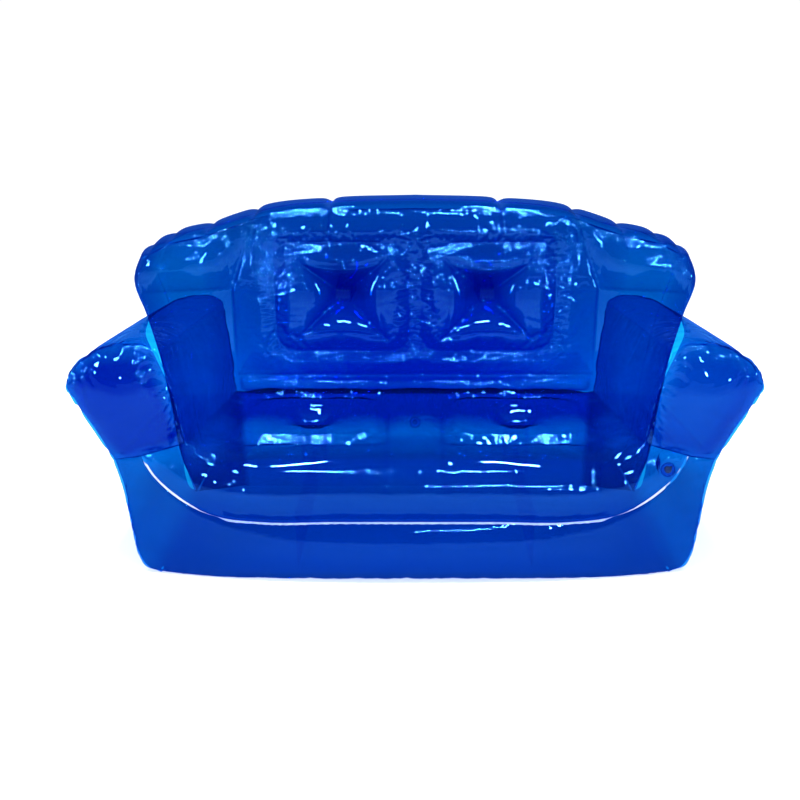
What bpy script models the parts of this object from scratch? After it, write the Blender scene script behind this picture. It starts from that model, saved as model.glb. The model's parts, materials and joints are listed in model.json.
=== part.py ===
"""Inflatable two-seat couch of clear blue film.

The couch stands on the floor plane z = 0 and faces -Y.  The origin is under
the middle of its footprint.  Each welded sheet of film is one object.  Sheets
that meet at a weld share one seam line, and each stops a hair short of it.
"""

import math

import bmesh
import bpy
import numpy as np
from mathutils import Matrix, Vector
from mathutils.bvhtree import BVHTree

for old_object in list(bpy.data.objects):
    bpy.data.objects.remove(old_object, do_unlink=True)


# Film and clearances, in metres
FILM = 0.0004               # thickness of one sheet
SEAM_GAP = 0.0005           # each outer sheet stops this far from its weld line
WEB_GAP = 0.0016            # inner sheets stop this far from an outer weld
TIE_GAP = 0.0005            # end of a tie sleeve to the sheet it ties
CUT_OVERRUN = 0.004         # how far every cutter passes the film

# Footprint and floor line
DEPTH = 0.86                # front bulge to rear bulge
FOOT_HALF_WIDTH = 0.655     # half width of the floor panel at the front
FOOT_DEPTH = 0.058          # front floor line behind the front plane
FOOT_CORNER_DEPTH = 0.088   # the same at the front corners

# Waist, where the arms sit on the base
WAIST_HALF_WIDTH = 0.716
WAIST_HEIGHT = 0.322
WAIST_DEPTH = 0.062
WAIST_REAR_DROP = 0.012     # the waist is this much lower at the back

# Front fin, the long weld between the seat front and the skirt
FIN_HEIGHT = 0.163
FIN_DEPTH = 0.045
FIN_FLAT_HALF = 0.38        # half length of its level stretch
FIN_END_HALF = 0.650        # its ends on the waist weld
FIN_END_HEIGHT = 0.333
FIN_END_DEPTH = 0.056

# Crease between the seat and an arm
CREASE_FRONT_HALF = 0.553
CREASE_FRONT_HEIGHT = 0.352
CREASE_FRONT_DEPTH = 0.088
CREASE_REAR_HALF = 0.535
CREASE_REAR_HEIGHT = 0.304

# Arms
ARM_REACH = 0.800           # half width over the arms
ARM_REAR_REACH = 0.768
ARM_TOP = 0.613
ARM_REAR_TOP = 0.600
ARM_SEAM_DEPTH = 0.050      # weld round the front face
ARM_INNER_HALF = 0.584      # inner top weld
ARM_REAR_INNER_HALF = 0.556
ARM_SHOULDER_HALF = 0.783   # outer top corner of the front face
ARM_REAR_SHOULDER_HALF = 0.756
ARM_INNER_DROP = 0.023      # inner top weld below the top
ARM_SHOULDER_DROP = 0.061   # outer top corner below the top
ARM_FACE_BULGE = 0.044
ARM_INNER_BULGE = 0.020
ARM_BACK_INSET = 0.006      # arm end inside the side weld of the back

# Skirt and floor panel
SKIRT_BULGE = 0.034
SKIRT_SIDE_SHARES = ((0.0, 0.0), (0.46, 0.17), (0.62, 0.33), (0.72, 0.55), (0.76, 0.76), (1.0, 1.0))

# Seat
SEAT_HEIGHT = 0.326         # top of the cushion between the tufts
SEAT_FRONT_DEPTH = 0.006    # foremost line of the seat front
SEAT_EDGE_HEIGHT = 0.300    # where the front turns into the top
SEAT_EDGE_DEPTH = 0.030
SEAT_REAR_HEIGHT = 0.298    # crease under the back
SEAT_TUFT_HALF = 0.275      # middle of a tuft from the centre line
SEAT_TUFT_DEPTH = 0.345     # middle of a tuft behind the front plane
SEAT_RING_HALF_WIDTH = 0.200
SEAT_RING_HALF_DEPTH = 0.170
SEAT_WELL_HALF_WIDTH = 0.085
SEAT_WELL_HALF_DEPTH = 0.075
SEAT_TIE_HALF = 0.030
SEAT_RING_SINK = 0.014
SEAT_WELL_SINK = 0.030

# Back
BACK_DEPTH = 0.600          # front of the back at seat height
BACK_REAR_DEPTH = 0.800     # its rear weld at seat height
BACK_LEAN = 0.025           # the top leans this far to the rear
BACK_TOP = 0.842            # front weld in the middle
BACK_CORNER_HALF = 0.757    # upper corner of a wing
BACK_CORNER_HEIGHT = 0.715
BACK_FOOT_HALF = 0.668
WING_HALF = 0.778           # widest line of a wing
WING_HEIGHT = 0.655
WING_FORWARD = 0.070        # a wing's edge comes this far forward
FOLD_SETBACK = 0.005        # fold between the middle and a wing, inside the arm crease
FOLD_LEAN = 0.090           # the fold runs inwards this far at the top
ARM_LINE_HEIGHT = 0.615     # the wings puff out above the arms
ROLL_BOTTOM = 0.308         # lumbar roll
ROLL_TOP = 0.356
ROLL_BULGE = 0.030
ROLL_HALF_WIDTH = 0.515
BACK_BULGE = 0.048
WING_BULGE = 0.034
REAR_BULGE = 0.045
BACK_TUFT_HALF = 0.210
BACK_TUFT_HEIGHT = 0.590
BACK_RING_HALF_WIDTH = 0.195
BACK_RING_HALF_HEIGHT = 0.157
BACK_WELL_HALF_WIDTH = 0.128
BACK_WELL_HALF_HEIGHT = 0.114
BACK_TIE_HALF = 0.025
BACK_RING_SINK = 0.018
BACK_WELL_SINK = 0.075
REAR_TUFT_SINK = 0.030
RIM_BULGE = 0.024
RIM_PINCH = 0.010
RIM_PINCH_HALVES = (0.245, 0.460, 0.590, 0.690)

# Ribs under the seat deck
RIB_HALF = 0.300            # the outer ribs from the centre line
RIB_FRONT_DEPTH = 0.100
RIB_REAR_DEPTH = 0.580

# Valves
FLANGE_RADIUS = 0.0180
FLANGE_THICKNESS = 0.0008
NECK_WALL = 0.0010
NECK_LENGTH = 0.0060
STEM_RADIUS = 0.0065
STEM_BORE_RADIUS = 0.0045
STEM_LENGTH = 0.0140
COLLAR_RADIUS = 0.0085
COLLAR_THICKNESS = 0.0008
SLIDE_CLEARANCE = 0.0003
LID_RADIUS = 0.0076
LID_THICKNESS = 0.0012
BUNG_RADIUS = 0.0041
BUNG_TIP_RADIUS = 0.0032
BUNG_LENGTH = 0.0050
STRAP_WIDTH = 0.0040
CAP_HINGE_OFFSET = 0.0120
EAR_SETBACK = 0.0008        # ear ends short of the cap's hinge line
STRAP_SETBACK = 0.0002
FLAP_RADIUS = 0.0058
FLAP_THICKNESS = 0.0004
FLAP_HINGE_OFFSET = 0.0056
SEAT_VALVE_HALF = 0.605
SEAT_VALVE_HEIGHT = 0.298
BACK_VALVE_HEIGHT = 0.120
BASE_VALVE_DEPTH = 0.420
BASE_VALVE_HEIGHT = 0.150
VALVE_STEPS = 24

# Mesh density, as counts
SKIRT_ROWS = 6
ARM_ROWS = 8
CREST_ROWS = 8
FRONT_ROWS = 5              # seat rows between the fin and the crease
FIN_END_COLUMNS = 3
WAIST_END_COLUMNS = 3
RIM_ROWS = 4
BAND_FOOT_ROWS = 4

# Colours: base colour, roughness
FILM_BLUE = ((0.004, 0.070, 0.620), 0.08)
DEEP_BLUE = ((0.002, 0.030, 0.420), 0.12)
WEB_BLUE = ((0.010, 0.110, 0.700), 0.15)
VALVE_BLUE = ((0.004, 0.012, 0.060), 0.35)

HALF_DEPTH = DEPTH / 2
FOLD_HALF = CREASE_REAR_HALF - FOLD_SETBACK


# Collections
def new_collection(name):
    collection = bpy.data.collections.new(name)
    bpy.context.scene.collection.children.link(collection)
    return collection


COUCH = new_collection("inflatable_couch")
CUTTERS = new_collection("cutters")


# Seam lines are arrays of points, one row each, as x, y and z
def at(x, depth, z):
    """A point given by its depth behind the front plane."""
    return np.array([x, depth - HALF_DEPTH, z])


def lengths_along(curve):
    steps = np.linalg.norm(np.diff(curve, axis=0), axis=1)
    return np.concatenate([[0.0], np.cumsum(steps)])


def at_lengths(curve, lengths):
    """Points of a polyline at the given lengths along it."""
    along = lengths_along(curve)
    return np.stack([np.interp(lengths, along, curve[:, axis]) for axis in range(curve.shape[1])], axis=1)


def smooth(points, fineness=24):
    """A fine polyline that passes smoothly through the points."""
    points = np.array(points)
    knots = lengths_along(points)
    slopes = np.gradient(points, knots, axis=0)
    pieces = []
    for start in range(len(points) - 1):
        span = knots[start + 1] - knots[start]
        t = np.linspace(0, 1, fineness, endpoint=False)[:, None]
        pieces.append(
            (2 * t**3 - 3 * t**2 + 1) * points[start]
            + (t**3 - 2 * t**2 + t) * span * slopes[start]
            + (3 * t**2 - 2 * t**3) * points[start + 1]
            + (t**3 - t**2) * span * slopes[start + 1]
        )
    pieces.append(points[-1:])
    return np.concatenate(pieces)


def evenly(curve, count):
    """A polyline of count equal steps along a curve."""
    return at_lengths(curve, np.linspace(0, lengths_along(curve)[-1], count + 1))


def joined(*curves):
    """Curves that start where the one before them ends, as one."""
    return np.concatenate([curves[0]] + [curve[1:] for curve in curves[1:]])


def mirrored(curve):
    return curve * np.array([-1.0, 1.0, 1.0])


def both_sides(half_values):
    """Stops from the centre line outwards, made into stops from left to right."""
    half_values = list(half_values)
    return np.array([-value for value in reversed(half_values[1:])] + half_values)


def blend(first, second, share):
    return first + (second - first) * share


# The plane of the back, which leans and has its wings turned forward
def back_lean(z):
    return BACK_LEAN * (z - SEAT_HEIGHT) / (BACK_TOP - SEAT_HEIGHT)


def wing_forward(x):
    return WING_FORWARD * np.maximum(0, np.abs(x) - FOLD_HALF) / (WING_HALF - FOLD_HALF)


def back_face(x, z):
    """Depth of the flat front of the back."""
    return BACK_DEPTH + back_lean(z) - wing_forward(x)


def back_rear(x, z):
    """Depth of the flat rear of the back."""
    return BACK_REAR_DEPTH + back_lean(z) - wing_forward(x)


def on_back(x, z):
    return at(x, back_face(x, z), z)


# Column and row stops, so that welds and tufts fall on mesh lines
def stops_between(values, parts):
    """Stops at all values, with the gaps between them split into equal parts."""
    stops = [values[0]]
    for start, end, part_count in zip(values[:-1], values[1:], parts):
        stops.extend(np.linspace(start, end, part_count + 1)[1:])
    return stops


SEAT_COLUMN_HALVES = stops_between(
    (
        0.0,
        SEAT_TUFT_HALF - SEAT_RING_HALF_WIDTH,
        SEAT_TUFT_HALF - SEAT_WELL_HALF_WIDTH,
        SEAT_TUFT_HALF - SEAT_TIE_HALF,
        SEAT_TUFT_HALF + SEAT_TIE_HALF,
        SEAT_TUFT_HALF + SEAT_WELL_HALF_WIDTH,
        SEAT_TUFT_HALF + SEAT_RING_HALF_WIDTH,
    ),
    (1, 3, 1, 1, 1, 3),
)
SEAT_DEPTH_STOPS = stops_between(
    (
        CREASE_FRONT_DEPTH,
        SEAT_TUFT_DEPTH - SEAT_RING_HALF_DEPTH,
        SEAT_TUFT_DEPTH - SEAT_WELL_HALF_DEPTH,
        SEAT_TUFT_DEPTH - SEAT_TIE_HALF,
        SEAT_TUFT_DEPTH + SEAT_TIE_HALF,
        SEAT_TUFT_DEPTH + SEAT_WELL_HALF_DEPTH,
        SEAT_TUFT_DEPTH + SEAT_RING_HALF_DEPTH,
        BACK_DEPTH,
    ),
    (2, 3, 1, 1, 1, 3, 2),
)
SIDE_SHARES = (np.array(SEAT_DEPTH_STOPS) - CREASE_FRONT_DEPTH) / (BACK_DEPTH - CREASE_FRONT_DEPTH)

BACK_COLUMN_STOPS = both_sides(
    stops_between(
        (
            0.0,
            BACK_TUFT_HALF - BACK_RING_HALF_WIDTH,
            BACK_TUFT_HALF - BACK_WELL_HALF_WIDTH,
            BACK_TUFT_HALF - BACK_TIE_HALF,
            BACK_TUFT_HALF + BACK_TIE_HALF,
            BACK_TUFT_HALF + BACK_WELL_HALF_WIDTH,
            BACK_TUFT_HALF + BACK_RING_HALF_WIDTH,
            FOLD_HALF,
            BACK_CORNER_HALF,
        ),
        (1, 2, 2, 1, 2, 2, 2, 4),
    )
)
BACK_ROW_STOPS = np.array(
    stops_between(
        (
            0.0,
            ROLL_BOTTOM,
            (ROLL_BOTTOM + ROLL_TOP) / 2,
            ROLL_TOP,
            BACK_TUFT_HEIGHT - BACK_RING_HALF_HEIGHT,
            BACK_TUFT_HEIGHT - BACK_WELL_HALF_HEIGHT,
            BACK_TUFT_HEIGHT - BACK_TIE_HALF,
            BACK_TUFT_HEIGHT + BACK_TIE_HALF,
            BACK_TUFT_HEIGHT + BACK_WELL_HALF_HEIGHT,
            BACK_TUFT_HEIGHT + BACK_RING_HALF_HEIGHT,
            BACK_TOP,
        ),
        (2, 1, 1, 2, 1, 2, 1, 2, 1, 2),
    )
)


# Seams of the right side, in the order from the floor upwards
def arm_outline(foot, waist, reach, top, shoulder_half, inner_half, depth_of):
    """Floor line, side, waist, shoulder and crest of one arm end."""
    side_height = top - waist[1]
    shoulder = (shoulder_half, top - ARM_SHOULDER_DROP)
    inner = (inner_half, top - ARM_INNER_DROP)

    def placed(points):
        return smooth([at(x, depth_of(x, z), z) for x, z in points])

    skirt_points = [
        (blend(foot[0], waist[0], across), blend(foot[1], waist[1], up))
        for across, up in SKIRT_SIDE_SHARES
    ]
    flare_shares = ((0.0, 0.0), (0.40, 0.26), (0.83, 0.52), (1.0, 0.66))
    flare_points = [
        (blend(waist[0], reach, across), waist[1] + side_height * up)
        for across, up in flare_shares
    ]
    flare_points.append(shoulder)
    crest_shares = ((0.0, 0.0), (0.19, 0.50), (0.42, 0.87), (0.66, 1.0), (0.86, 0.92))
    crest_points = [
        (blend(shoulder[0], inner[0], across), shoulder[1] + ARM_SHOULDER_DROP * up)
        for across, up in crest_shares
    ]
    crest_points.append(inner)
    return (
        evenly(placed(skirt_points), SKIRT_ROWS),
        evenly(placed(flare_points), ARM_ROWS),
        evenly(placed(crest_points), CREST_ROWS),
    )


def front_depth(x, z):
    """Depth of the weld round the front of the couch at one height."""
    if z < WAIST_HEIGHT:
        return blend(FOOT_CORNER_DEPTH, WAIST_DEPTH, z / WAIST_HEIGHT)
    rise = min(1.0, (z - WAIST_HEIGHT) / (ARM_TOP - ARM_SHOULDER_DROP - WAIST_HEIGHT))
    return blend(WAIST_DEPTH, ARM_SEAM_DEPTH, rise)


FRONT_SKIRT_SIDE, FRONT_FLARE, FRONT_CREST = arm_outline(
    (FOOT_HALF_WIDTH, 0.0),
    (WAIST_HALF_WIDTH, WAIST_HEIGHT),
    ARM_REACH,
    ARM_TOP,
    ARM_SHOULDER_HALF,
    ARM_INNER_HALF,
    front_depth,
)
REAR_SKIRT_SIDE, REAR_FLARE, REAR_CREST = arm_outline(
    (BACK_FOOT_HALF - ARM_BACK_INSET, 0.0),
    (WAIST_HALF_WIDTH - ARM_BACK_INSET, WAIST_HEIGHT - WAIST_REAR_DROP),
    ARM_REAR_REACH,
    ARM_REAR_TOP,
    ARM_REAR_SHOULDER_HALF,
    ARM_REAR_INNER_HALF,
    back_face,
)
FRONT_ARM_SEAM = joined(FRONT_SKIRT_SIDE, FRONT_FLARE, FRONT_CREST)
REAR_ARM_SEAM = joined(REAR_SKIRT_SIDE, REAR_FLARE, REAR_CREST)

CREASE_FRONT = at(CREASE_FRONT_HALF, CREASE_FRONT_DEPTH, CREASE_FRONT_HEIGHT)
CREASE_REAR = on_back(CREASE_REAR_HALF, CREASE_REAR_HEIGHT)
FIN_END = at(FIN_END_HALF, FIN_END_DEPTH, FIN_END_HEIGHT)
WAIST_FRONT = FRONT_SKIRT_SIDE[-1]
WAIST_REAR = REAR_SKIRT_SIDE[-1]

CREASE = np.array([blend(CREASE_FRONT, CREASE_REAR, share) for share in SIDE_SHARES])
INNER_TOP = np.array([blend(FRONT_CREST[-1], REAR_CREST[-1], share) for share in SIDE_SHARES])
WAIST_INNER = evenly(np.array([FIN_END, CREASE_FRONT]), FRONT_ROWS)
WAIST_OUTER = evenly(np.array([FIN_END, WAIST_FRONT]), WAIST_END_COLUMNS)
FIN_END_REAR = on_back(FIN_END_HALF, (CREASE_REAR[2] + WAIST_REAR[2]) / 2)


def inner_side(crease_end, top_end, lean):
    """Weld up the inner side of an arm end, drawn in a little at half height."""
    middle_share = 0.5
    middle = blend(crease_end, top_end, middle_share) + np.array([lean, 0.0, 0.0])
    return smooth([crease_end, middle, top_end])


INNER_LEAN = -0.004         # how far that weld bows towards the seat
FRONT_INNER_SIDE = evenly(inner_side(CREASE_FRONT, FRONT_CREST[-1], INNER_LEAN), ARM_ROWS)


def rear_inner_side():
    """The same weld on the back, with each point laid on its face."""
    line = evenly(inner_side(CREASE_REAR, REAR_CREST[-1], 0.0), ARM_ROWS)
    return np.array([on_back(x, z) for x, _, z in line])


REAR_INNER_SIDE = rear_inner_side()


# The fin, level in the middle and rising to the waist at both ends
FIN_RISE_SHARES = (
    (0.0, 0.0),
    (0.33, 0.055),
    (0.58, 0.20),
    (0.80, 0.46),
    (0.91, 0.66),
    (0.975, 0.85),
    (1.0, 1.0),
)


def fin_half():
    """Right half of the fin, with a point at each column stop of the seat."""
    points = [at(0.0, FIN_DEPTH, FIN_HEIGHT), at(FIN_FLAT_HALF / 2, FIN_DEPTH, FIN_HEIGHT)]
    for across, up in FIN_RISE_SHARES:
        points.append(
            at(
                blend(FIN_FLAT_HALF, FIN_END_HALF, across),
                blend(FIN_DEPTH, FIN_END_DEPTH, across),
                blend(FIN_HEIGHT, FIN_END_HEIGHT, up),
            )
        )
    curve = smooth(points)
    along = lengths_along(curve)
    column_lengths = np.interp(SEAT_COLUMN_HALVES, curve[:, 0], along)
    end_lengths = np.linspace(column_lengths[-1], along[-1], FIN_END_COLUMNS + 1)[1:]
    return at_lengths(curve, np.concatenate([column_lengths, end_lengths]))


FIN_RIGHT = fin_half()
FIN = joined(mirrored(FIN_RIGHT)[::-1], FIN_RIGHT)
SKIRT_TOP = joined(mirrored(WAIST_OUTER)[::-1], FIN, WAIST_OUTER)


# Weights that fade a seam's pull from one side of a grid to the other
def fades(shares, reach):
    """Weights 1 at the first share, falling to 0 over the given reach."""
    return np.clip(1 - (shares - shares[0]) / reach, 0, 1)


def index_shares(count):
    return np.linspace(0, 1, count)


def fitted(base, left, right, bottom, top, across_reach=1.0, along_reach=1.0, across=None, along=None):
    """A grid that keeps the base inside and passes through four seams.

    left and right run from bottom to top, bottom and top from left to right.
    """
    columns, rows = base.shape[:2]
    across = index_shares(columns) if across is None else across
    along = index_shares(rows) if along is None else along
    from_left = fades(across, across_reach)[:, None, None]
    from_right = fades(1 - across[::-1], across_reach)[::-1][:, None, None]
    from_bottom = fades(along, along_reach)[None, :, None]
    from_top = fades(1 - along[::-1], along_reach)[::-1][None, :, None]

    left_pull = (left - base[0])[None]
    right_pull = (right - base[-1])[None]
    bottom_pull = (bottom - base[:, 0])[:, None]
    top_pull = (top - base[:, -1])[:, None]
    sideways = from_left * left_pull + from_right * right_pull
    bottom_rest = bottom_pull - from_left * bottom_pull[:1] - from_right * bottom_pull[-1:]
    top_rest = top_pull - from_left * top_pull[:1] - from_right * top_pull[-1:]
    return base + sideways + from_bottom * bottom_rest + from_top * top_rest


def spanned(left, right, bottom, top):
    """A grid stretched between four seams."""
    return fitted(np.zeros((len(bottom), len(left), 3)), left, right, bottom, top)


def grid_normals(grid):
    """Unit normals of a grid, on the side that sees left to right and bottom to top as x and y."""
    across = np.gradient(grid, axis=0)
    along = np.gradient(grid, axis=1)
    normals = np.cross(across, along)
    return normals / np.maximum(np.linalg.norm(normals, axis=2, keepdims=True), 1e-12)


def pillow(columns, rows, sharpness=0.8):
    """Shares of a bulge, 0 on the edges and 1 in the middle."""
    u = 1 - (2 * index_shares(columns) - 1) ** 2
    v = 1 - (2 * index_shares(rows) - 1) ** 2
    return (u[:, None] * v[None, :]) ** sharpness


def puffed(grid, bulge):
    """The grid moved out along its normals by the bulge times the pillow shares."""
    return grid + grid_normals(grid) * (bulge * pillow(*grid.shape[:2]))[:, :, None]


def drawn_short(grid, left=SEAM_GAP, right=SEAM_GAP, bottom=SEAM_GAP, top=SEAM_GAP):
    """The grid with each edge moved inwards by its own distance."""
    short = grid.copy()

    def pull(edge, inner, distance):
        gap = inner - edge
        return distance * gap / np.linalg.norm(gap, axis=1, keepdims=True)

    short[0] += pull(grid[0], grid[1], left)
    short[-1] += pull(grid[-1], grid[-2], right)
    short[:, 0] += pull(grid[:, 0], grid[:, 1], bottom)
    short[:, -1] += pull(grid[:, -1], grid[:, -2], top)
    return short


# Objects and materials
def material(name, look):
    colour, roughness = look
    new = bpy.data.materials.new(name)
    new.use_nodes = True
    shader = new.node_tree.nodes["Principled BSDF"]
    shader.inputs["Base Color"].default_value = (*colour, 1.0)
    shader.inputs["Roughness"].default_value = roughness
    shader.inputs["Metallic"].default_value = 0.0
    shader.inputs["IOR"].default_value = 1.53
    new.diffuse_color = (*colour, 1.0)
    return new


def new_object(name, mesh, look, collection=None):
    thing = bpy.data.objects.new(name, mesh)
    (collection or COUCH).objects.link(thing)
    if look is not None:
        mesh.materials.append(material(name + "_finish", look))
    return thing


def give_thickness(thing, offset):
    modifier = thing.modifiers.new("film", "SOLIDIFY")
    modifier.thickness = FILM
    modifier.offset = offset
    modifier.use_even_offset = False
    modifier.use_quality_normals = False


def sheet(name, grid, look, offset=-1.0):
    """One sheet of film over a grid of points, thickened inwards."""
    columns, rows = grid.shape[0] - 1, grid.shape[1] - 1
    mesh = bpy.data.meshes.new(name)
    shape = bmesh.new()
    bmesh.ops.create_grid(shape, x_segments=columns, y_segments=rows, size=1.0)
    for vertex in shape.verts:
        column = round((vertex.co.x + 1) / 2 * columns)
        row = round((vertex.co.y + 1) / 2 * rows)
        vertex.co = Vector(grid[column, row])
    shape.normal_update()
    shape.to_mesh(mesh)
    shape.free()
    thing = new_object(name, mesh, look)
    give_thickness(thing, offset)
    return thing


def loop_of(grid, columns, rows):
    """Points round a rectangle of a grid, and the grid's normals there."""
    first_column, last_column = columns
    first_row, last_row = rows
    bottom = [(column, first_row) for column in range(first_column, last_column)]
    right = [(last_column, row) for row in range(first_row, last_row)]
    top = [(column, last_row) for column in range(last_column, first_column, -1)]
    left = [(first_column, row) for row in range(last_row, first_row, -1)]
    return np.array([grid[place] for place in bottom + right + top + left])


def sleeve(name, near_loop, far_loop, look):
    """An open tube of film between two loops of points."""
    count = len(near_loop)
    mesh = bpy.data.meshes.new(name)
    shape = bmesh.new()
    bmesh.ops.create_cone(shape, cap_ends=False, segments=count, radius1=1.0, radius2=1.0, depth=2.0)
    for vertex in shape.verts:
        turn = math.atan2(vertex.co.y, vertex.co.x) / math.tau * count
        place = round(turn) % count
        vertex.co = Vector(near_loop[place] if vertex.co.z < 0 else far_loop[place])
    shape.normal_update()
    shape.to_mesh(mesh)
    shape.free()
    thing = new_object(name, mesh, look)
    give_thickness(thing, 0.0)
    return thing


def shifted_loop(loop, towards, distance):
    """A loop moved towards its partner by a distance."""
    step = towards - loop
    return loop + step * distance / np.linalg.norm(step, axis=1, keepdims=True)


def tie(name, near_grid, far_grid, near_place, far_place, look):
    """A sleeve between two sheets, from the same columns and rows of each."""
    near = loop_of(near_grid, *near_place)
    far = loop_of(far_grid, *far_place)
    reach = FILM + TIE_GAP
    return sleeve(name, shifted_loop(near, far, reach), shifted_loop(far, near, reach), look)


def span_of(stops, first, last):
    """Indices of the two stops nearest to the values."""
    return int(np.argmin(np.abs(np.array(stops) - first))), int(np.argmin(np.abs(np.array(stops) - last)))


# Reliefs, which raise and sink a sheet in its flat pattern
def square_share(x, y, half_width, half_height):
    """0 in the middle of a rectangle, 1 on its edge, with sharp diagonals."""
    return np.maximum(np.abs(x) / half_width, np.abs(y) / half_height)


def hump(value, low, high, sharpness=0.7):
    """0 outside a band and 1 in its middle."""
    share = np.clip((value - low) / (high - low), 0, 1)
    return (4 * share * (1 - share)) ** sharpness


def tuft(x, y, ring_half, well_half, ring_sink, well_sink):
    """Depth of a tuft: a puckered square ring round a four-sided well."""
    well = square_share(x, y, *well_half)
    ring = square_share(x, y, *ring_half)
    well_steepness = 1.3
    well_depth = ring_sink / 2 + (well_sink - ring_sink / 2) * np.clip(1 - well, 0, 1) ** well_steepness
    ring_width_share = 0.30
    ring_depth = ring_sink * np.clip(1 - np.abs(1 - ring) / ring_width_share, 0, 1)
    return np.where(well <= 1, well_depth, ring_depth)


def twin_tufts(x, y, half, *sizes):
    return np.maximum(tuft(x - half, y, *sizes), tuft(x + half, y, *sizes))


# Sheets of the base and the seat
def seat_centre_line():
    """Depth and height of the seat's centre line, one pair for each row."""
    bulge_height = (FIN_HEIGHT + SEAT_EDGE_HEIGHT) / 2
    front = evenly(
        smooth(
            [
                (FIN_DEPTH, FIN_HEIGHT),
                (SEAT_FRONT_DEPTH, bulge_height),
                (SEAT_EDGE_DEPTH, SEAT_EDGE_HEIGHT),
                (CREASE_FRONT_DEPTH, SEAT_HEIGHT),
            ]
        ),
        FRONT_ROWS,
    )
    top = [(depth, SEAT_HEIGHT) for depth in SEAT_DEPTH_STOPS[1:-1]]
    return np.array([*front, *top, (BACK_DEPTH, SEAT_REAR_HEIGHT)])


SEAT_COLUMNS = both_sides(
    SEAT_COLUMN_HALVES + list(np.linspace(SEAT_COLUMN_HALVES[-1], CREASE_REAR_HALF, FIN_END_COLUMNS + 1)[1:])
)


def seat_grid():
    centre = seat_centre_line()
    base = np.array([[at(x, depth, z) for depth, z in centre] for x in SEAT_COLUMNS])
    right = joined(WAIST_INNER, CREASE)
    rear_height_shares = np.clip((np.abs(SEAT_COLUMNS) - SEAT_COLUMN_HALVES[-1]), 0, None)
    rear_height_shares = rear_height_shares / (CREASE_REAR_HALF - SEAT_COLUMN_HALVES[-1])
    rear = np.array(
        [
            on_back(x, blend(SEAT_REAR_HEIGHT, CREASE_REAR_HEIGHT, share))
            for x, share in zip(SEAT_COLUMNS, rear_height_shares)
        ]
    )
    columns, rows = base.shape[:2]
    grid = fitted(
        base,
        mirrored(right),
        right,
        FIN,
        rear,
        across_reach=(FIN_END_COLUMNS + 1) / (columns - 1),
        along_reach=(FRONT_ROWS + 1) / (rows - 1),
    )
    x, depth = np.meshgrid(SEAT_COLUMNS, centre[:, 0], indexing="ij")
    sink = twin_tufts(
        x,
        depth - SEAT_TUFT_DEPTH,
        SEAT_TUFT_HALF,
        (SEAT_RING_HALF_WIDTH, SEAT_RING_HALF_DEPTH),
        (SEAT_WELL_HALF_WIDTH, SEAT_WELL_HALF_DEPTH),
        SEAT_RING_SINK,
        SEAT_WELL_SINK,
    )
    sink[:, : FRONT_ROWS + 1] = 0
    sink[:, -1] = 0
    grid[:, :, 2] -= sink
    return grid


def deck_grid():
    """Inner sheet from the fin to the back, under the seat."""
    depths = [FIN_DEPTH] + list(SEAT_DEPTH_STOPS[1:])
    shares = (np.array(depths) - FIN_DEPTH) / (BACK_DEPTH - FIN_DEPTH)
    rise = (FIN_END_REAR[2] - FIN_HEIGHT) / (FIN_END_HEIGHT - FIN_HEIGHT)
    rear = np.array([on_back(x, FIN_HEIGHT + (z - FIN_HEIGHT) * rise) for x, _, z in FIN])
    return np.array([[blend(front, end, share) for share in shares] for front, end in zip(FIN, rear)])


def floor_line():
    """Front floor line from left to right, one point for each point of the skirt's top."""
    along = lengths_along(SKIRT_TOP)
    across = 2 * along / along[-1] - 1
    corner_start_share = 0.62
    corner = np.clip((np.abs(across) - corner_start_share) / (1 - corner_start_share), 0, 1) ** 2
    return np.array(
        [
            at(FOOT_HALF_WIDTH * side, blend(FOOT_DEPTH, FOOT_CORNER_DEPTH, set_back), 0.0)
            for side, set_back in zip(across, corner)
        ]
    )


FLOOR_LINE = floor_line()


def skirt_grid():
    grid = spanned(mirrored(FRONT_SKIRT_SIDE), FRONT_SKIRT_SIDE, FLOOR_LINE, SKIRT_TOP)
    return puffed(grid, SKIRT_BULGE)


def floor_grid():
    """The flat floor panel, from the front floor line to the rear of the back."""
    fold_columns = 5
    middle_columns = len(FLOOR_LINE) - 1 - 2 * fold_columns
    rear_x = stops_between(
        (-BACK_FOOT_HALF, -FOLD_HALF, FOLD_HALF, BACK_FOOT_HALF),
        (fold_columns, middle_columns, fold_columns),
    )
    rear = np.array([at(x, back_rear(x, 0.0), 0.0) for x in rear_x])
    back_foot = on_back(BACK_FOOT_HALF, 0.0)
    right = joined(
        np.array([blend(FLOOR_LINE[-1], back_foot, share) for share in SIDE_SHARES]),
        evenly(np.array([back_foot, rear[-1]]), BAND_FOOT_ROWS),
    )
    return spanned(mirrored(right), right, FLOOR_LINE, rear)[:, ::-1]


# Sheets of the arms
def arm_outer_grid():
    return np.array(
        [[blend(front, rear, share) for share in SIDE_SHARES] for front, rear in zip(FRONT_ARM_SEAM, REAR_ARM_SEAM)]
    )[:, ::-1]


def arm_inner_grid():
    grid = spanned(FRONT_INNER_SIDE, REAR_INNER_SIDE, CREASE, INNER_TOP)
    return puffed(grid[::-1], ARM_INNER_BULGE)


def arm_front_grid():
    bottom = joined(WAIST_INNER[::-1], WAIST_OUTER)
    return puffed(
        spanned(FRONT_INNER_SIDE, FRONT_FLARE, bottom, FRONT_CREST[::-1]),
        ARM_FACE_BULGE,
    )


def waist_web_grid():
    """Inner sheet that closes an arm off from the base."""
    front = joined(WAIST_INNER[::-1], WAIST_OUTER)
    rear = joined(
        evenly(np.array([CREASE_REAR, FIN_END_REAR]), FRONT_ROWS),
        evenly(np.array([FIN_END_REAR, WAIST_REAR]), WAIST_END_COLUMNS),
    )
    return np.array([[blend(start, end, share) for share in SIDE_SHARES] for start, end in zip(front, rear)])


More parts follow.
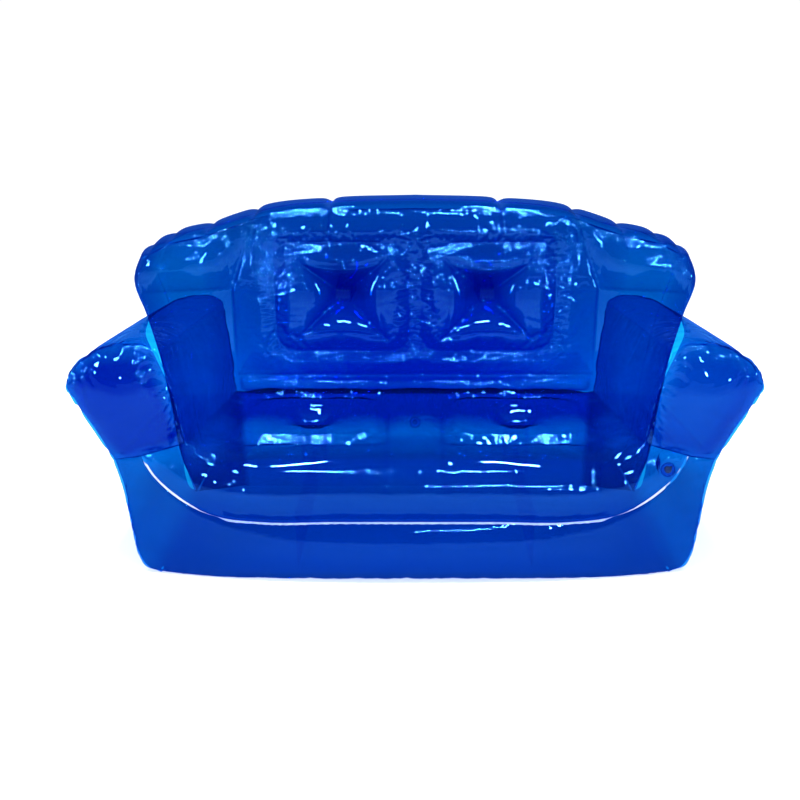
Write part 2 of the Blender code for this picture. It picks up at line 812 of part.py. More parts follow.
# Sheets of the back
def wing_side(depth_of):
    """Weld up the right edge of the back, from the floor to the wing's corner."""
    waist_half = WAIST_HALF_WIDTH - ARM_BACK_INSET / 2
    curve = smooth(
        [
            (BACK_FOOT_HALF, 0.0),
            (blend(BACK_FOOT_HALF, waist_half, 0.60), WAIST_HEIGHT * 0.33),
            (waist_half, WAIST_HEIGHT * 0.90),
            (blend(waist_half, WING_HALF, 0.31), blend(WAIST_HEIGHT, WING_HEIGHT, 0.36)),
            (blend(waist_half, WING_HALF, 0.68), blend(WAIST_HEIGHT, WING_HEIGHT, 0.71)),
            (WING_HALF, WING_HEIGHT),
            (BACK_CORNER_HALF, BACK_CORNER_HEIGHT),
        ]
    )
    heights = BACK_ROW_STOPS * BACK_CORNER_HEIGHT / BACK_TOP
    x = np.interp(heights, curve[:, 1], curve[:, 0])
    return np.array([at(across, depth_of(across, z), z) for across, z in zip(x, heights)])


ARCH_SHARES = ((0.0, 1.0), (0.317, 0.945), (0.594, 0.764), (0.687, 0.59), (0.773, 0.433), (0.911, 0.26), (1.0, 0.0))


def arch(depth_of):
    """Weld over the top of the back, one point for each column."""
    curve = smooth(
        [
            (BACK_CORNER_HALF * across, blend(BACK_CORNER_HEIGHT, BACK_TOP, up))
            for across, up in ARCH_SHARES
        ]
    )
    heights = np.interp(np.abs(BACK_COLUMN_STOPS), curve[:, 0], curve[:, 1])
    return np.array([at(x, depth_of(x, z), z) for x, z in zip(BACK_COLUMN_STOPS, heights)])


def back_pattern(depth_of):
    """Grid of the back before it is puffed, on one of its two faces."""
    base = np.array([[at(x, depth_of(x, z), z) for z in BACK_ROW_STOPS] for x in BACK_COLUMN_STOPS])
    bottom = base[:, 0].copy()
    bottom[:, 0] *= BACK_FOOT_HALF / BACK_CORNER_HALF
    fold_columns = np.abs(BACK_COLUMN_STOPS) <= FOLD_HALF + FILM
    bottom[fold_columns, 0] = BACK_COLUMN_STOPS[fold_columns]
    outer = ~fold_columns
    outer_share = (np.abs(BACK_COLUMN_STOPS[outer]) - FOLD_HALF) / (BACK_CORNER_HALF - FOLD_HALF)
    bottom[outer, 0] = np.sign(BACK_COLUMN_STOPS[outer]) * blend(FOLD_HALF, BACK_FOOT_HALF, outer_share)
    side = wing_side(depth_of)
    width = BACK_COLUMN_STOPS[-1] - BACK_COLUMN_STOPS[0]
    top_reach = (BACK_TOP - BACK_TUFT_HEIGHT - BACK_RING_HALF_HEIGHT) / BACK_TOP
    grid = fitted(
        base,
        mirrored(side),
        side,
        bottom,
        arch(depth_of),
        across_reach=(BACK_CORNER_HALF - FOLD_HALF) / width,
        along_reach=top_reach,
        across=(BACK_COLUMN_STOPS - BACK_COLUMN_STOPS[0]) / width,
        along=BACK_ROW_STOPS / BACK_TOP,
    )
    grid[:, :, 1] = depth_of(grid[:, :, 0], grid[:, :, 2]) - HALF_DEPTH
    return grid


def back_relief(grid):
    """How far the front of the back stands out: the roll, tufts and middle by its flat pattern."""
    x, z = np.meshgrid(BACK_COLUMN_STOPS, BACK_ROW_STOPS, indexing="ij")
    real_x, real_z = grid[:, :, 0], grid[:, :, 2]
    upper_share = np.clip((z - ARM_LINE_HEIGHT) / (BACK_TOP - ARM_LINE_HEIGHT), 0, 1)
    fold = FOLD_HALF - FOLD_LEAN * upper_share
    roll = ROLL_BULGE * hump(z, ROLL_BOTTOM, ROLL_TOP) * hump(x, -ROLL_HALF_WIDTH, ROLL_HALF_WIDTH, 0.25)
    middle_height = hump(z, ROLL_TOP, BACK_TOP, 0.6)
    middle = BACK_BULGE * middle_height * hump(x, -fold, fold, 0.5)
    wing_across = hump(np.abs(real_x), fold, WING_HALF, 0.7)
    wing = WING_BULGE * wing_across * hump(real_z, ARM_LINE_HEIGHT, real_z[:, -1:], 0.6)
    wing[:, 1:] *= real_z[:, :-1] >= ARM_LINE_HEIGHT
    sink = twin_tufts(
        x,
        z - BACK_TUFT_HEIGHT,
        BACK_TUFT_HALF,
        (BACK_RING_HALF_WIDTH, BACK_RING_HALF_HEIGHT),
        (BACK_WELL_HALF_WIDTH, BACK_WELL_HALF_HEIGHT),
        BACK_RING_SINK,
        BACK_WELL_SINK,
    )
    relief = roll + middle + wing - sink * (middle_height > 0)
    relief[0] = relief[-1] = 0
    relief[:, -1] = 0
    return relief


def back_front_grid():
    grid = back_pattern(back_face)
    grid[:, :, 1] -= back_relief(grid)
    return grid


def back_rear_grid():
    grid = back_pattern(back_rear)
    x, z = np.meshgrid(BACK_COLUMN_STOPS, BACK_ROW_STOPS, indexing="ij")
    bulge = REAR_BULGE * hump(z, 0.0, BACK_TOP, 0.6) * hump(x, -BACK_CORNER_HALF, BACK_CORNER_HALF, 0.5)
    share = square_share(
        np.abs(x) - BACK_TUFT_HALF, z - BACK_TUFT_HEIGHT, BACK_WELL_HALF_WIDTH, BACK_WELL_HALF_HEIGHT
    )
    bulge -= REAR_TUFT_SINK * np.clip(1 - share, 0, 1)
    grid[:, :, 1] += bulge
    return grid


def rim_pinch(points):
    """1 at each pinch of the rim, 0 half way between two of them."""
    half = np.abs(points[:, 0])
    pinch_width = (RIM_PINCH_HALVES[1] - RIM_PINCH_HALVES[0]) / 8
    shares = [np.clip(1 - np.abs(half - pinch) / pinch_width, 0, 1) for pinch in RIM_PINCH_HALVES]
    above_wing = points[:, 2] > WING_HEIGHT
    return np.max(shares, axis=0) * above_wing


def rim_seam(depth_of):
    side = wing_side(depth_of)
    return joined(mirrored(side), arch(depth_of), side[::-1])


def rim_grid():
    """The band round the edge of the back, from its front weld to its rear weld."""
    front = rim_seam(back_face)
    rear = rim_seam(back_rear)
    shares = index_shares(RIM_ROWS + 1)
    grid = np.array([[blend(start, end, share) for share in shares] for start, end in zip(front, rear)])
    swell = RIM_BULGE - RIM_PINCH * rim_pinch(front)
    crown = hump(shares, 0.0, 1.0, 0.6)
    near_floor = np.clip(front[:, 2] / (WAIST_HEIGHT / 4), 0, 1)
    lift = swell[:, None] * crown[None, :] * near_floor[:, None]
    return grid + grid_normals(grid) * lift[:, :, None]


def back_web_grid():
    """Inner sheet that ties the crease above the roll to the rear of the back."""
    row = span_of(BACK_ROW_STOPS, ROLL_TOP, ROLL_TOP)[0]
    columns = slice(*(place + side for place, side in zip(span_of(BACK_COLUMN_STOPS, -FOLD_HALF, FOLD_HALF), (1, 0))))
    front = BACK_FRONT[columns, row]
    rear = BACK_REAR[columns, row]
    shares = index_shares(RIM_ROWS + 1)
    return np.array([[blend(start, end, share) for share in shares] for start, end in zip(front, rear)])


# Grids that other pieces measure from
SEAT = seat_grid()
DECK = deck_grid()
ARM_OUTER = arm_outer_grid()
BACK_FRONT = back_front_grid()
BACK_REAR = back_rear_grid()
FLOOR_TRIM = FILM + SEAM_GAP


def mirror_grid(grid):
    """The same sheet on the left, with its outer side still outside."""
    return (grid * np.array([-1.0, 1.0, 1.0]))[::-1]


def build_base_and_seat():
    sheet("floor_panel", drawn_short(floor_grid()), DEEP_BLUE)
    sheet("skirt_front", drawn_short(skirt_grid(), bottom=FLOOR_TRIM), FILM_BLUE)
    sheet("seat_cover", drawn_short(SEAT), FILM_BLUE)
    sheet(
        "seat_deck_web",
        drawn_short(DECK, WEB_GAP, WEB_GAP, WEB_GAP, SEAM_GAP),
        WEB_BLUE,
        offset=0.0,
    )


def build_ribs():
    """Upright inner sheets between the floor panel and the deck."""
    depths = (RIB_FRONT_DEPTH, RIB_REAR_DEPTH)
    for side, x in (("left", -RIB_HALF), ("middle", 0.0), ("right", RIB_HALF)):
        deck_height = np.interp(x, FIN[:, 0], FIN[:, 2])
        heights = (FILM + TIE_GAP, deck_height - FILM - TIE_GAP)
        grid = np.array([[at(x, depth, z) for z in heights] for depth in depths])
        sheet("base_rib_" + side, grid, WEB_BLUE, offset=0.0)


def build_arms():
    grids = {
        "outer": drawn_short(ARM_OUTER, left=FLOOR_TRIM),
        "inner": drawn_short(arm_inner_grid()),
        "front": drawn_short(arm_front_grid()),
        "waist_web": drawn_short(waist_web_grid(), WEB_GAP, WEB_GAP, WEB_GAP, SEAM_GAP),
    }
    for part, grid in grids.items():
        is_web = part == "waist_web"
        look = WEB_BLUE if is_web else FILM_BLUE
        offset = 0.0 if is_web else -1.0
        sheet("right_arm_" + part, grid, look, offset)
        sheet("left_arm_" + part, mirror_grid(grid), look, offset)


def build_back():
    sheet("back_front", drawn_short(BACK_FRONT, bottom=FLOOR_TRIM), FILM_BLUE)
    sheet("back_rear", drawn_short(BACK_REAR, bottom=FLOOR_TRIM)[::-1], DEEP_BLUE)
    sheet("back_rim_band", drawn_short(rim_grid(), left=FLOOR_TRIM, right=FLOOR_TRIM), FILM_BLUE)
    reach = FILM + TIE_GAP
    sheet("back_crease_web", drawn_short(back_web_grid(), WEB_GAP, WEB_GAP, reach, reach), WEB_BLUE, offset=0.0)


def build_tuft_ties():
    """Ring walls and centre ties that hold the tufts in."""
    front_depths = seat_centre_line()[:, 0]
    deck_shift = FRONT_ROWS
    for side, sign in (("left", -1), ("right", 1)):
        for kind, half_sizes in (
            ("ring", (SEAT_RING_HALF_WIDTH, SEAT_RING_HALF_DEPTH)),
            ("tie", (SEAT_TIE_HALF, SEAT_TIE_HALF)),
        ):
            middle = sign * SEAT_TUFT_HALF
            columns = span_of(SEAT_COLUMNS, middle - half_sizes[0], middle + half_sizes[0])
            rows = span_of(front_depths, SEAT_TUFT_DEPTH - half_sizes[1], SEAT_TUFT_DEPTH + half_sizes[1])
            deck_rows = tuple(row - deck_shift for row in rows)
            tie(f"seat_{kind}_{side}", SEAT, DECK, (columns, rows), (columns, deck_rows), WEB_BLUE)
        for kind, half_sizes in (
            ("ring", (BACK_RING_HALF_WIDTH, BACK_RING_HALF_HEIGHT)),
            ("tie", (BACK_TIE_HALF, BACK_TIE_HALF)),
        ):
            middle = sign * BACK_TUFT_HALF
            columns = span_of(BACK_COLUMN_STOPS, middle - half_sizes[0], middle + half_sizes[0])
            rows = span_of(BACK_ROW_STOPS, BACK_TUFT_HEIGHT - half_sizes[1], BACK_TUFT_HEIGHT + half_sizes[1])
            tie(f"back_{kind}_{side}", BACK_FRONT, BACK_REAR, (columns, rows), (columns, rows), WEB_BLUE)


# Valves
def turned(name, profile, look, collection=None, closed=True):
    """A closed ring or solid, turned about the local Z axis."""
    mesh = bpy.data.meshes.new(name)
    shape = bmesh.new()
    corners = [shape.verts.new((radius, 0.0, height)) for radius, height in profile]
    for start, end in zip(corners[:-1], corners[1:]):
        shape.edges.new((start, end))
    if closed:
        shape.edges.new((corners[-1], corners[0]))
    shape.to_mesh(mesh)
    shape.free()
    thing = new_object(name, mesh, look, collection)
    screw = thing.modifiers.new("turn", "SCREW")
    screw.steps = VALVE_STEPS
    screw.render_steps = VALVE_STEPS
    screw.use_merge_vertices = True
    screw.merge_threshold = FILM / 40
    screw.use_normal_flip = True
    return thing


def helper_box(name, low, high):
    """A hidden box to be joined to a turned piece."""
    mesh = bpy.data.meshes.new(name)
    shape = bmesh.new()
    bmesh.ops.create_cube(shape, size=1.0)
    low, high = Vector(low), Vector(high)
    for vertex in shape.verts:
        vertex.co = Vector(blend(low[axis], high[axis], vertex.co[axis] + 0.5) for axis in range(3))
    shape.to_mesh(mesh)
    shape.free()
    return hide_as_cutter(new_object(name, mesh, None, CUTTERS))


def hide_as_cutter(thing):
    thing.hide_render = True
    thing.display_type = "WIRE"
    return thing


def combine(thing, tool, operation):
    modifier = thing.modifiers.new(operation.lower(), "BOOLEAN")
    modifier.operation = operation
    modifier.solver = "EXACT"
    modifier.object = tool


def cut_hole(target_name, name, frame):
    """A round hole through a sheet for a valve's flange."""
    mesh = bpy.data.meshes.new(name)
    shape = bmesh.new()
    radius = FLANGE_RADIUS + SLIDE_CLEARANCE
    depth = 2 * (CUT_OVERRUN + FLANGE_THICKNESS)
    bmesh.ops.create_cone(
        shape, cap_ends=True, segments=VALVE_STEPS, radius1=radius, radius2=radius, depth=depth
    )
    shape.to_mesh(mesh)
    shape.free()
    cutter = hide_as_cutter(new_object(name, mesh, None, CUTTERS))
    cutter.matrix_world = frame
    combine(bpy.data.objects[target_name], cutter, "DIFFERENCE")


# Heights of the valve's parts above the film, in its own frame
FLANGE_TOP = FLANGE_THICKNESS / 2
COLLAR_BOTTOM = FLANGE_TOP + SLIDE_CLEARANCE
COLLAR_TOP = COLLAR_BOTTOM + COLLAR_THICKNESS
LID_BOTTOM = COLLAR_TOP + SLIDE_CLEARANCE
STEM_END = COLLAR_TOP - STEM_LENGTH
FLAP_TOP = STEM_END - SLIDE_CLEARANCE


def flange(name):
    hole = STEM_RADIUS + SLIDE_CLEARANCE
    neck = hole + NECK_WALL
    return turned(
        name,
        [
            (hole, -NECK_LENGTH),
            (neck, -NECK_LENGTH),
            (neck, -FLANGE_TOP),
            (FLANGE_RADIUS, -FLANGE_TOP),
            (FLANGE_RADIUS, FLANGE_TOP),
            (hole, FLANGE_TOP),
        ],
        VALVE_BLUE,
    )


def stem(name):
    thing = turned(
        name,
        [
            (STEM_BORE_RADIUS, STEM_END),
            (STEM_RADIUS, STEM_END),
            (STEM_RADIUS, COLLAR_BOTTOM),
            (COLLAR_RADIUS, COLLAR_BOTTOM),
            (COLLAR_RADIUS, COLLAR_TOP),
            (STEM_BORE_RADIUS, COLLAR_TOP),
        ],
        VALVE_BLUE,
    )
    ear_start = (STEM_RADIUS + COLLAR_RADIUS) / 2
    inset = COLLAR_THICKNESS / 8
    ear = helper_box(
        name + "_ear",
        (ear_start, -STRAP_WIDTH / 2, COLLAR_BOTTOM + inset),
        (CAP_HINGE_OFFSET - EAR_SETBACK, STRAP_WIDTH / 2, COLLAR_TOP - inset),
    )
    ear.parent = thing
    combine(thing, ear, "UNION")
    return thing


def cap(name):
    """Lid with a tapered bung, drawn about its hinge line."""
    lid_top = LID_THICKNESS
    thing = turned(
        name,
        [
            (0.0, -BUNG_LENGTH),
            (BUNG_TIP_RADIUS, -BUNG_LENGTH),
            (BUNG_RADIUS, 0.0),
            (LID_RADIUS, 0.0),
            (LID_RADIUS, lid_top),
            (0.0, lid_top),
        ],
        VALVE_BLUE,
        closed=False,
    )
    strap_start = (BUNG_RADIUS + LID_RADIUS) / 2
    inset = LID_THICKNESS / 8
    strap = helper_box(
        name + "_strap",
        (strap_start, -STRAP_WIDTH / 2, inset),
        (CAP_HINGE_OFFSET - STRAP_SETBACK, STRAP_WIDTH / 2, lid_top - inset),
    )
    strap.parent = thing
    combine(thing, strap, "UNION")
    for piece in (thing, strap):
        shift = Matrix.Translation((-CAP_HINGE_OFFSET, 0.0, 0.0))
        piece.data.transform(shift)
    screw = thing.modifiers["turn"]
    axis_mark = bpy.data.objects.new(name + "_axis", None)
    CUTTERS.objects.link(axis_mark)
    axis_mark.location = (-CAP_HINGE_OFFSET, 0.0, 0.0)
    axis_mark.parent = thing
    screw.object = axis_mark
    return thing


def flap(name):
    """Soft disc under the stem, drawn about its hinge line."""
    thing = turned(
        name,
        [(0.0, -FLAP_THICKNESS), (FLAP_RADIUS, -FLAP_THICKNESS), (FLAP_RADIUS, 0.0), (0.0, 0.0)],
        VALVE_BLUE,
        closed=False,
    )
    thing.data.transform(Matrix.Translation((FLAP_HINGE_OFFSET, 0.0, 0.0)))
    axis_mark = bpy.data.objects.new(name + "_axis", None)
    CUTTERS.objects.link(axis_mark)
    axis_mark.location = (FLAP_HINGE_OFFSET, 0.0, 0.0)
    axis_mark.parent = thing
    thing.modifiers["turn"].object = axis_mark
    return thing


def valve(prefix, sheet_name, frame):
    """Flange, sliding stem, hinged cap and check flap, set in a sheet."""
    cut_hole(sheet_name, prefix + "_hole", frame)
    flange_piece = flange(prefix + "_flange")
    flange_piece.matrix_world = frame
    stem_piece = stem(prefix + "_stem")
    stem_piece.matrix_world = frame
    cap_piece = cap(prefix + "_cap")
    cap_piece.parent = stem_piece
    cap_piece.location = (CAP_HINGE_OFFSET, 0.0, LID_BOTTOM)
    flap_piece = flap(prefix + "_flap")
    flap_piece.parent = stem_piece
    flap_piece.location = (-FLAP_HINGE_OFFSET, 0.0, FLAP_TOP)


def frame_on(grid, start, direction, hinge_side):
    """A frame where a ray meets a sheet: Z along the outer normal, X towards the cap's hinge."""
    columns, rows = grid.shape[:2]
    points = [Vector(point) for point in grid.reshape(-1, 3)]
    faces = [
        (c * rows + r, (c + 1) * rows + r, (c + 1) * rows + r + 1, c * rows + r + 1)
        for c in range(columns - 1)
        for r in range(rows - 1)
    ]
    tree = BVHTree.FromPolygons(points, faces)
    start = Vector(start)
    direction = Vector(direction)
    side = direction.orthogonal().normalized() * (FLANGE_RADIUS / 2)
    other = direction.cross(side)
    centre = tree.ray_cast(start, direction)[0]
    across = tree.ray_cast(start + side, direction)[0] - tree.ray_cast(start - side, direction)[0]
    along = tree.ray_cast(start + other, direction)[0] - tree.ray_cast(start - other, direction)[0]
    normal = across.cross(along).normalized()
    if normal.dot(direction) > 0:
        normal.negate()
    hinge_side = Vector(hinge_side)
    x_axis = (hinge_side - normal * normal.dot(hinge_side)).normalized()
    frame = Matrix((x_axis, normal.cross(x_axis), normal)).transposed().to_4x4()
    frame.translation = centre
    return frame


def build_valves():
    seat_start = at(SEAT_VALVE_HALF, -DEPTH, SEAT_VALVE_HEIGHT)
    valve("seat_valve", "seat_cover", frame_on(SEAT, seat_start, (0, 1, 0), (1, 0, 1)))
    back_start = at(0.0, 2 * DEPTH, BACK_VALVE_HEIGHT)
    valve("back_valve", "back_rear", frame_on(BACK_REAR, back_start, (0, -1, 0), (0, 0, 1)))
    base_start = at(2 * ARM_REACH, BASE_VALVE_DEPTH, BASE_VALVE_HEIGHT)
    valve("base_valve", "right_arm_outer", frame_on(ARM_OUTER, base_start, (-1, 0, 0), (0, 0, 1)))


build_base_and_seat()
build_ribs()
build_arms()
build_back()
build_tuft_ties()
build_valves()
bpy.context.view_layer.update()
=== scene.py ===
# %% [markdown]
# # An inflatable two-seat couch of clear blue film
# The real couch is cut from flat sheets of tinted film that are welded edge to edge and blown up. Air
# pushes each sheet out into a smooth crown, and the film that is left over near the welds gathers into
# small creases. This lesson rebuilds those sheets one by one: first the weld lines, then a grid of points
# between them, then the air and the creases, and at last a finish that lets light through.

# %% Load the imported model, which says where everything is
import json
import math
import time

import bmesh
import bpy
import numpy as np
from mathutils import Matrix, Vector


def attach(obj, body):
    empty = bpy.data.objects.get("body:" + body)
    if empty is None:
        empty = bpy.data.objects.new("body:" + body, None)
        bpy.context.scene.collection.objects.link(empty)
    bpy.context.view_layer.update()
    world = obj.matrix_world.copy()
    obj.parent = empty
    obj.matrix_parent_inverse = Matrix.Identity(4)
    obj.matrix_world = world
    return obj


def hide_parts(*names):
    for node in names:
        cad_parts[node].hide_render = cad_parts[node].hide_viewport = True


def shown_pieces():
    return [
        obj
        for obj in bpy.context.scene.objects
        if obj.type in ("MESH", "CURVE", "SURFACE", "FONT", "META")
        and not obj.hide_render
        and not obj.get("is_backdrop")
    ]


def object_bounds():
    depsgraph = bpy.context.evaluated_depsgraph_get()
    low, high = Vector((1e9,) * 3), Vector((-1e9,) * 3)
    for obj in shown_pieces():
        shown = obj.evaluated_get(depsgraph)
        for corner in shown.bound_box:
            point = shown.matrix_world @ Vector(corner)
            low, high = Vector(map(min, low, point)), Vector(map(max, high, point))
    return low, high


started = time.time()
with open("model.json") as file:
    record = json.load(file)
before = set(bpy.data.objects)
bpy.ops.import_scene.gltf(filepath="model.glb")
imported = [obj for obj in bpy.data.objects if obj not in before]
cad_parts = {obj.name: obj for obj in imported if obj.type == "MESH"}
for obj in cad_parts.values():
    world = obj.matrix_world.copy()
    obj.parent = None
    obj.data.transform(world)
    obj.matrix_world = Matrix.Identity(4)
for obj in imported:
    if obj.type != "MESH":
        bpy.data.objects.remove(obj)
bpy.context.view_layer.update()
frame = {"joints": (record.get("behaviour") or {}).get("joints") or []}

# %% [markdown]
# ## Camera
# The couch was seen from a standing person's height, tilted down by twenty degrees, through an ordinary
# phone lens. The camera comes first, so that every later step can be looked at from the same place.

# %% Make the camera
SENSOR_WIDTH = 36.0
CAMERA_LENS = 37.71
CAMERA_PLACE = (0.0, -2.20, 1.14)
CAMERA_TILT = 70.0
CAMERA_SHIFT = -0.01875

camera = bpy.data.objects.new("camera", bpy.data.cameras.new("camera"))
bpy.context.scene.collection.objects.link(camera)
camera.location = CAMERA_PLACE
camera.rotation_euler = (math.radians(CAMERA_TILT), 0.0, 0.0)
camera.data.sensor_width = SENSOR_WIDTH
camera.data.lens = CAMERA_LENS
camera.data.shift_x = CAMERA_SHIFT
bpy.context.scene.camera = camera
print("camera at", tuple(camera.location))

# %% [markdown]
# ## Weld lines
# Every sheet ends on weld lines that it shares with its neighbours. So the lines are worked out once, as
# arrays of points, and each sheet is stretched between the lines it needs. Then no gap can open between
# two sheets.

# %% Tools for lines of points
DEPTH = 0.86


def at(x, depth, z):
    """A point given by its depth behind the front plane."""
    return np.array([x, depth - DEPTH / 2, z])


def lengths_along(curve):
    steps = np.linalg.norm(np.diff(curve, axis=0), axis=1)
    return np.concatenate([[0.0], np.cumsum(steps)])


def at_lengths(curve, lengths):
    along = lengths_along(curve)
    return np.stack([np.interp(lengths, along, curve[:, axis]) for axis in range(curve.shape[1])], axis=1)


def smooth(points, fineness=24):
    """A fine line that passes smoothly through the points."""
    points = np.array(points)
    knots = lengths_along(points)
    slopes = np.gradient(points, knots, axis=0)
    parts = []
    for start in range(len(points) - 1):
        span = knots[start + 1] - knots[start]
        t = np.linspace(0, 1, fineness, endpoint=False)[:, None]
        parts.append(
            (2 * t**3 - 3 * t**2 + 1) * points[start]
            + (t**3 - 2 * t**2 + t) * span * slopes[start]
            + (3 * t**2 - 2 * t**3) * points[start + 1]
            + (t**3 - t**2) * span * slopes[start + 1]
        )
    parts.append(points[-1:])
    return np.concatenate(parts)


def evenly(curve, count):
    return at_lengths(curve, np.linspace(0, lengths_along(curve)[-1], count + 1))


def joined(*curves):
    return np.concatenate([curves[0]] + [curve[1:] for curve in curves[1:]])


def mirrored(curve):
    return curve * np.array([-1.0, 1.0, 1.0])


def both_sides(half_values):
    half_values = list(half_values)
    return np.array([-value for value in reversed(half_values[1:])] + half_values)


def blend(first, second, share):
    return first + (second - first) * share


def clipped(value):
    return np.clip(value, 0, 1)


# %% Rows and columns fall on the welds and the tufts, about eight millimetres apart
CELL = 0.008
SEAT_HEIGHT = 0.326
SEAT_TUFT_HALF, SEAT_TUFT_DEPTH = 0.275, 0.345
SEAT_RING, SEAT_WELL, SEAT_TIE_HALF = (0.200, 0.170), (0.085, 0.075), 0.030
CREASE_FRONT_HALF, CREASE_FRONT_DEPTH, CREASE_FRONT_HEIGHT = 0.553, 0.088, 0.352
CREASE_REAR_HALF, CREASE_REAR_HEIGHT = 0.535, 0.304
BACK_DEPTH, BACK_REAR_DEPTH, BACK_LEAN, BACK_TOP = 0.600, 0.800, 0.025, 0.842
FOLD_HALF = CREASE_REAR_HALF - 0.005


def stops_between(values):
    stops = [values[0]]
    for start, end in zip(values[:-1], values[1:]):
        stops.extend(np.linspace(start, end, max(1, round((end - start) / CELL)) + 1)[1:])
    return stops


def around_tuft(middle, *halves):
    """Places on both sides of a tuft's middle, in rising order. The halves are given from the widest."""
    return [middle - half for half in halves] + [middle + half for half in reversed(halves)]


SEAT_HALVES = stops_between([0.0, *around_tuft(SEAT_TUFT_HALF, SEAT_RING[0], SEAT_WELL[0], SEAT_TIE_HALF)])
seat_tuft_stops = around_tuft(SEAT_TUFT_DEPTH, SEAT_RING[1], SEAT_WELL[1], SEAT_TIE_HALF)
SEAT_DEPTHS = stops_between([CREASE_FRONT_DEPTH, *seat_tuft_stops, BACK_DEPTH])
SIDE_SHARES = (np.array(SEAT_DEPTHS) - CREASE_FRONT_DEPTH) / (BACK_DEPTH - CREASE_FRONT_DEPTH)
SKIRT_ROWS, ARM_ROWS, FRONT_ROWS, FIN_END_COLUMNS, WAIST_END_COLUMNS, RIM_ROWS = 40, 38, 26, 10, 10, 24
CREST_ROWS = FRONT_ROWS + WAIST_END_COLUMNS
print("seat columns", 2 * len(SEAT_HALVES) - 1, "rows from front to back", len(SEAT_DEPTHS))

# %% [markdown]
# ## The leaning back with its wings
# The back leans a little to the rear, and its two wings turn forward past a fold. Its flat front is a
# function that gives a depth for each place, so that arms and seat can end exactly on it.

# %% Depth of the two faces of the back
WING_HALF, WING_HEIGHT, WING_FORWARD = 0.778, 0.655, 0.070


def back_lean(z):
    return BACK_LEAN * (z - SEAT_HEIGHT) / (BACK_TOP - SEAT_HEIGHT)


def wing_forward(x):
    return WING_FORWARD * np.maximum(0, np.abs(x) - FOLD_HALF) / (WING_HALF - FOLD_HALF)


def back_face(x, z):
    return BACK_DEPTH + back_lean(z) - wing_forward(x)


def rear_face(x, z):
    return BACK_REAR_DEPTH + back_lean(z) - wing_forward(x)


def on_back(x, z):
    return at(x, back_face(x, z), z)


# %% [markdown]
# ## Arm ends
# Each arm is a rolled bag that leans outwards above a narrow waist. One function draws the outline of an
# arm end from the floor over the waist to the crest. It is used twice, for the front and for the back.

# %% Outline of an arm end
WAIST_HEIGHT, WAIST_HALF, WAIST_DEPTH = 0.322, 0.716, 0.062
ARM_TOP, ARM_SEAM_DEPTH, FOOT_HALF, FOOT_CORNER_DEPTH = 0.613, 0.050, 0.642, 0.088
SHOULDER_DROP, INNER_DROP = 0.061, 0.023
# Points of the outline, as shares of the way across and of the way up.
SKIRT_SHARES = ((0.0, 0.0), (0.48, 0.05), (0.68, 0.16), (0.75, 0.34), (0.79, 0.55), (0.84, 0.78), (1.0, 1.0))
FLARE_SHARES = ((0.0, 0.0), (0.40, 0.26), (0.83, 0.52), (1.0, 0.66))
CREST_SHARES = ((0.0, 0.0), (0.19, 0.50), (0.42, 0.87), (0.66, 1.0), (0.86, 0.92))


def arm_outline(foot, waist, reach, top, shoulder_half, inner_half, depth_of):
    shoulder = (shoulder_half, top - SHOULDER_DROP)
    inner = (inner_half, top - INNER_DROP)

    def placed(points):
        return smooth([at(x, depth_of(x, z), z) for x, z in points])

    def between(low, high, shares):
        return [(blend(low[0], high[0], across), blend(low[1], high[1], up)) for across, up in shares]

    skirt = between(foot, waist, SKIRT_SHARES)
    flare = between(waist, (reach, top), FLARE_SHARES)
    crest = [
        (blend(shoulder_half, inner_half, across), shoulder[1] + SHOULDER_DROP * up)
        for across, up in CREST_SHARES
    ]
    return (
        evenly(placed(skirt), SKIRT_ROWS),
        evenly(placed(flare + [shoulder]), ARM_ROWS),
        evenly(placed(crest + [inner]), CREST_ROWS),
    )


def front_depth(x, z):
    if z < WAIST_HEIGHT:
        return blend(FOOT_CORNER_DEPTH, WAIST_DEPTH, z / WAIST_HEIGHT)
    rise = min(1.0, (z - WAIST_HEIGHT) / (ARM_TOP - SHOULDER_DROP - WAIST_HEIGHT))
    return blend(WAIST_DEPTH, ARM_SEAM_DEPTH, rise)


FRONT_SKIRT_SIDE, FRONT_FLARE, FRONT_CREST = arm_outline(
    foot=(FOOT_HALF, 0.0), waist=(WAIST_HALF, WAIST_HEIGHT), reach=0.800, top=ARM_TOP,
    shoulder_half=0.783, inner_half=0.584, depth_of=front_depth,
)
REAR_SKIRT_SIDE, REAR_FLARE, REAR_CREST = arm_outline(
    foot=(0.662, 0.0), waist=(WAIST_HALF - 0.006, WAIST_HEIGHT - 0.012), reach=0.768, top=0.600,
    shoulder_half=0.756, inner_half=0.556, depth_of=back_face,
)
print("weld round an arm's front:", round(lengths_along(joined(FRONT_FLARE, FRONT_CREST))[-1], 3), "m")

# %% Creases between the seat, the arms and the back
FIN_DEPTH, FIN_HEIGHT, FIN_FLAT_HALF = 0.045, 0.163, 0.38
FIN_END_HALF, FIN_END_HEIGHT, FIN_END_DEPTH = 0.650, 0.333, 0.056
FRONT_INNER_LEAN = -0.004
CREASE_FRONT = at(CREASE_FRONT_HALF, CREASE_FRONT_DEPTH, CREASE_FRONT_HEIGHT)
CREASE_REAR = on_back(CREASE_REAR_HALF, CREASE_REAR_HEIGHT)
FIN_END = at(FIN_END_HALF, FIN_END_DEPTH, FIN_END_HEIGHT)
WAIST_FRONT, WAIST_REAR = FRONT_SKIRT_SIDE[-1], REAR_SKIRT_SIDE[-1]
FIN_END_REAR = on_back(FIN_END_HALF, (CREASE_REAR[2] + WAIST_REAR[2]) / 2)
CREASE = np.array([blend(CREASE_FRONT, CREASE_REAR, share) for share in SIDE_SHARES])
INNER_TOP = np.array([blend(FRONT_CREST[-1], REAR_CREST[-1], share) for share in SIDE_SHARES])
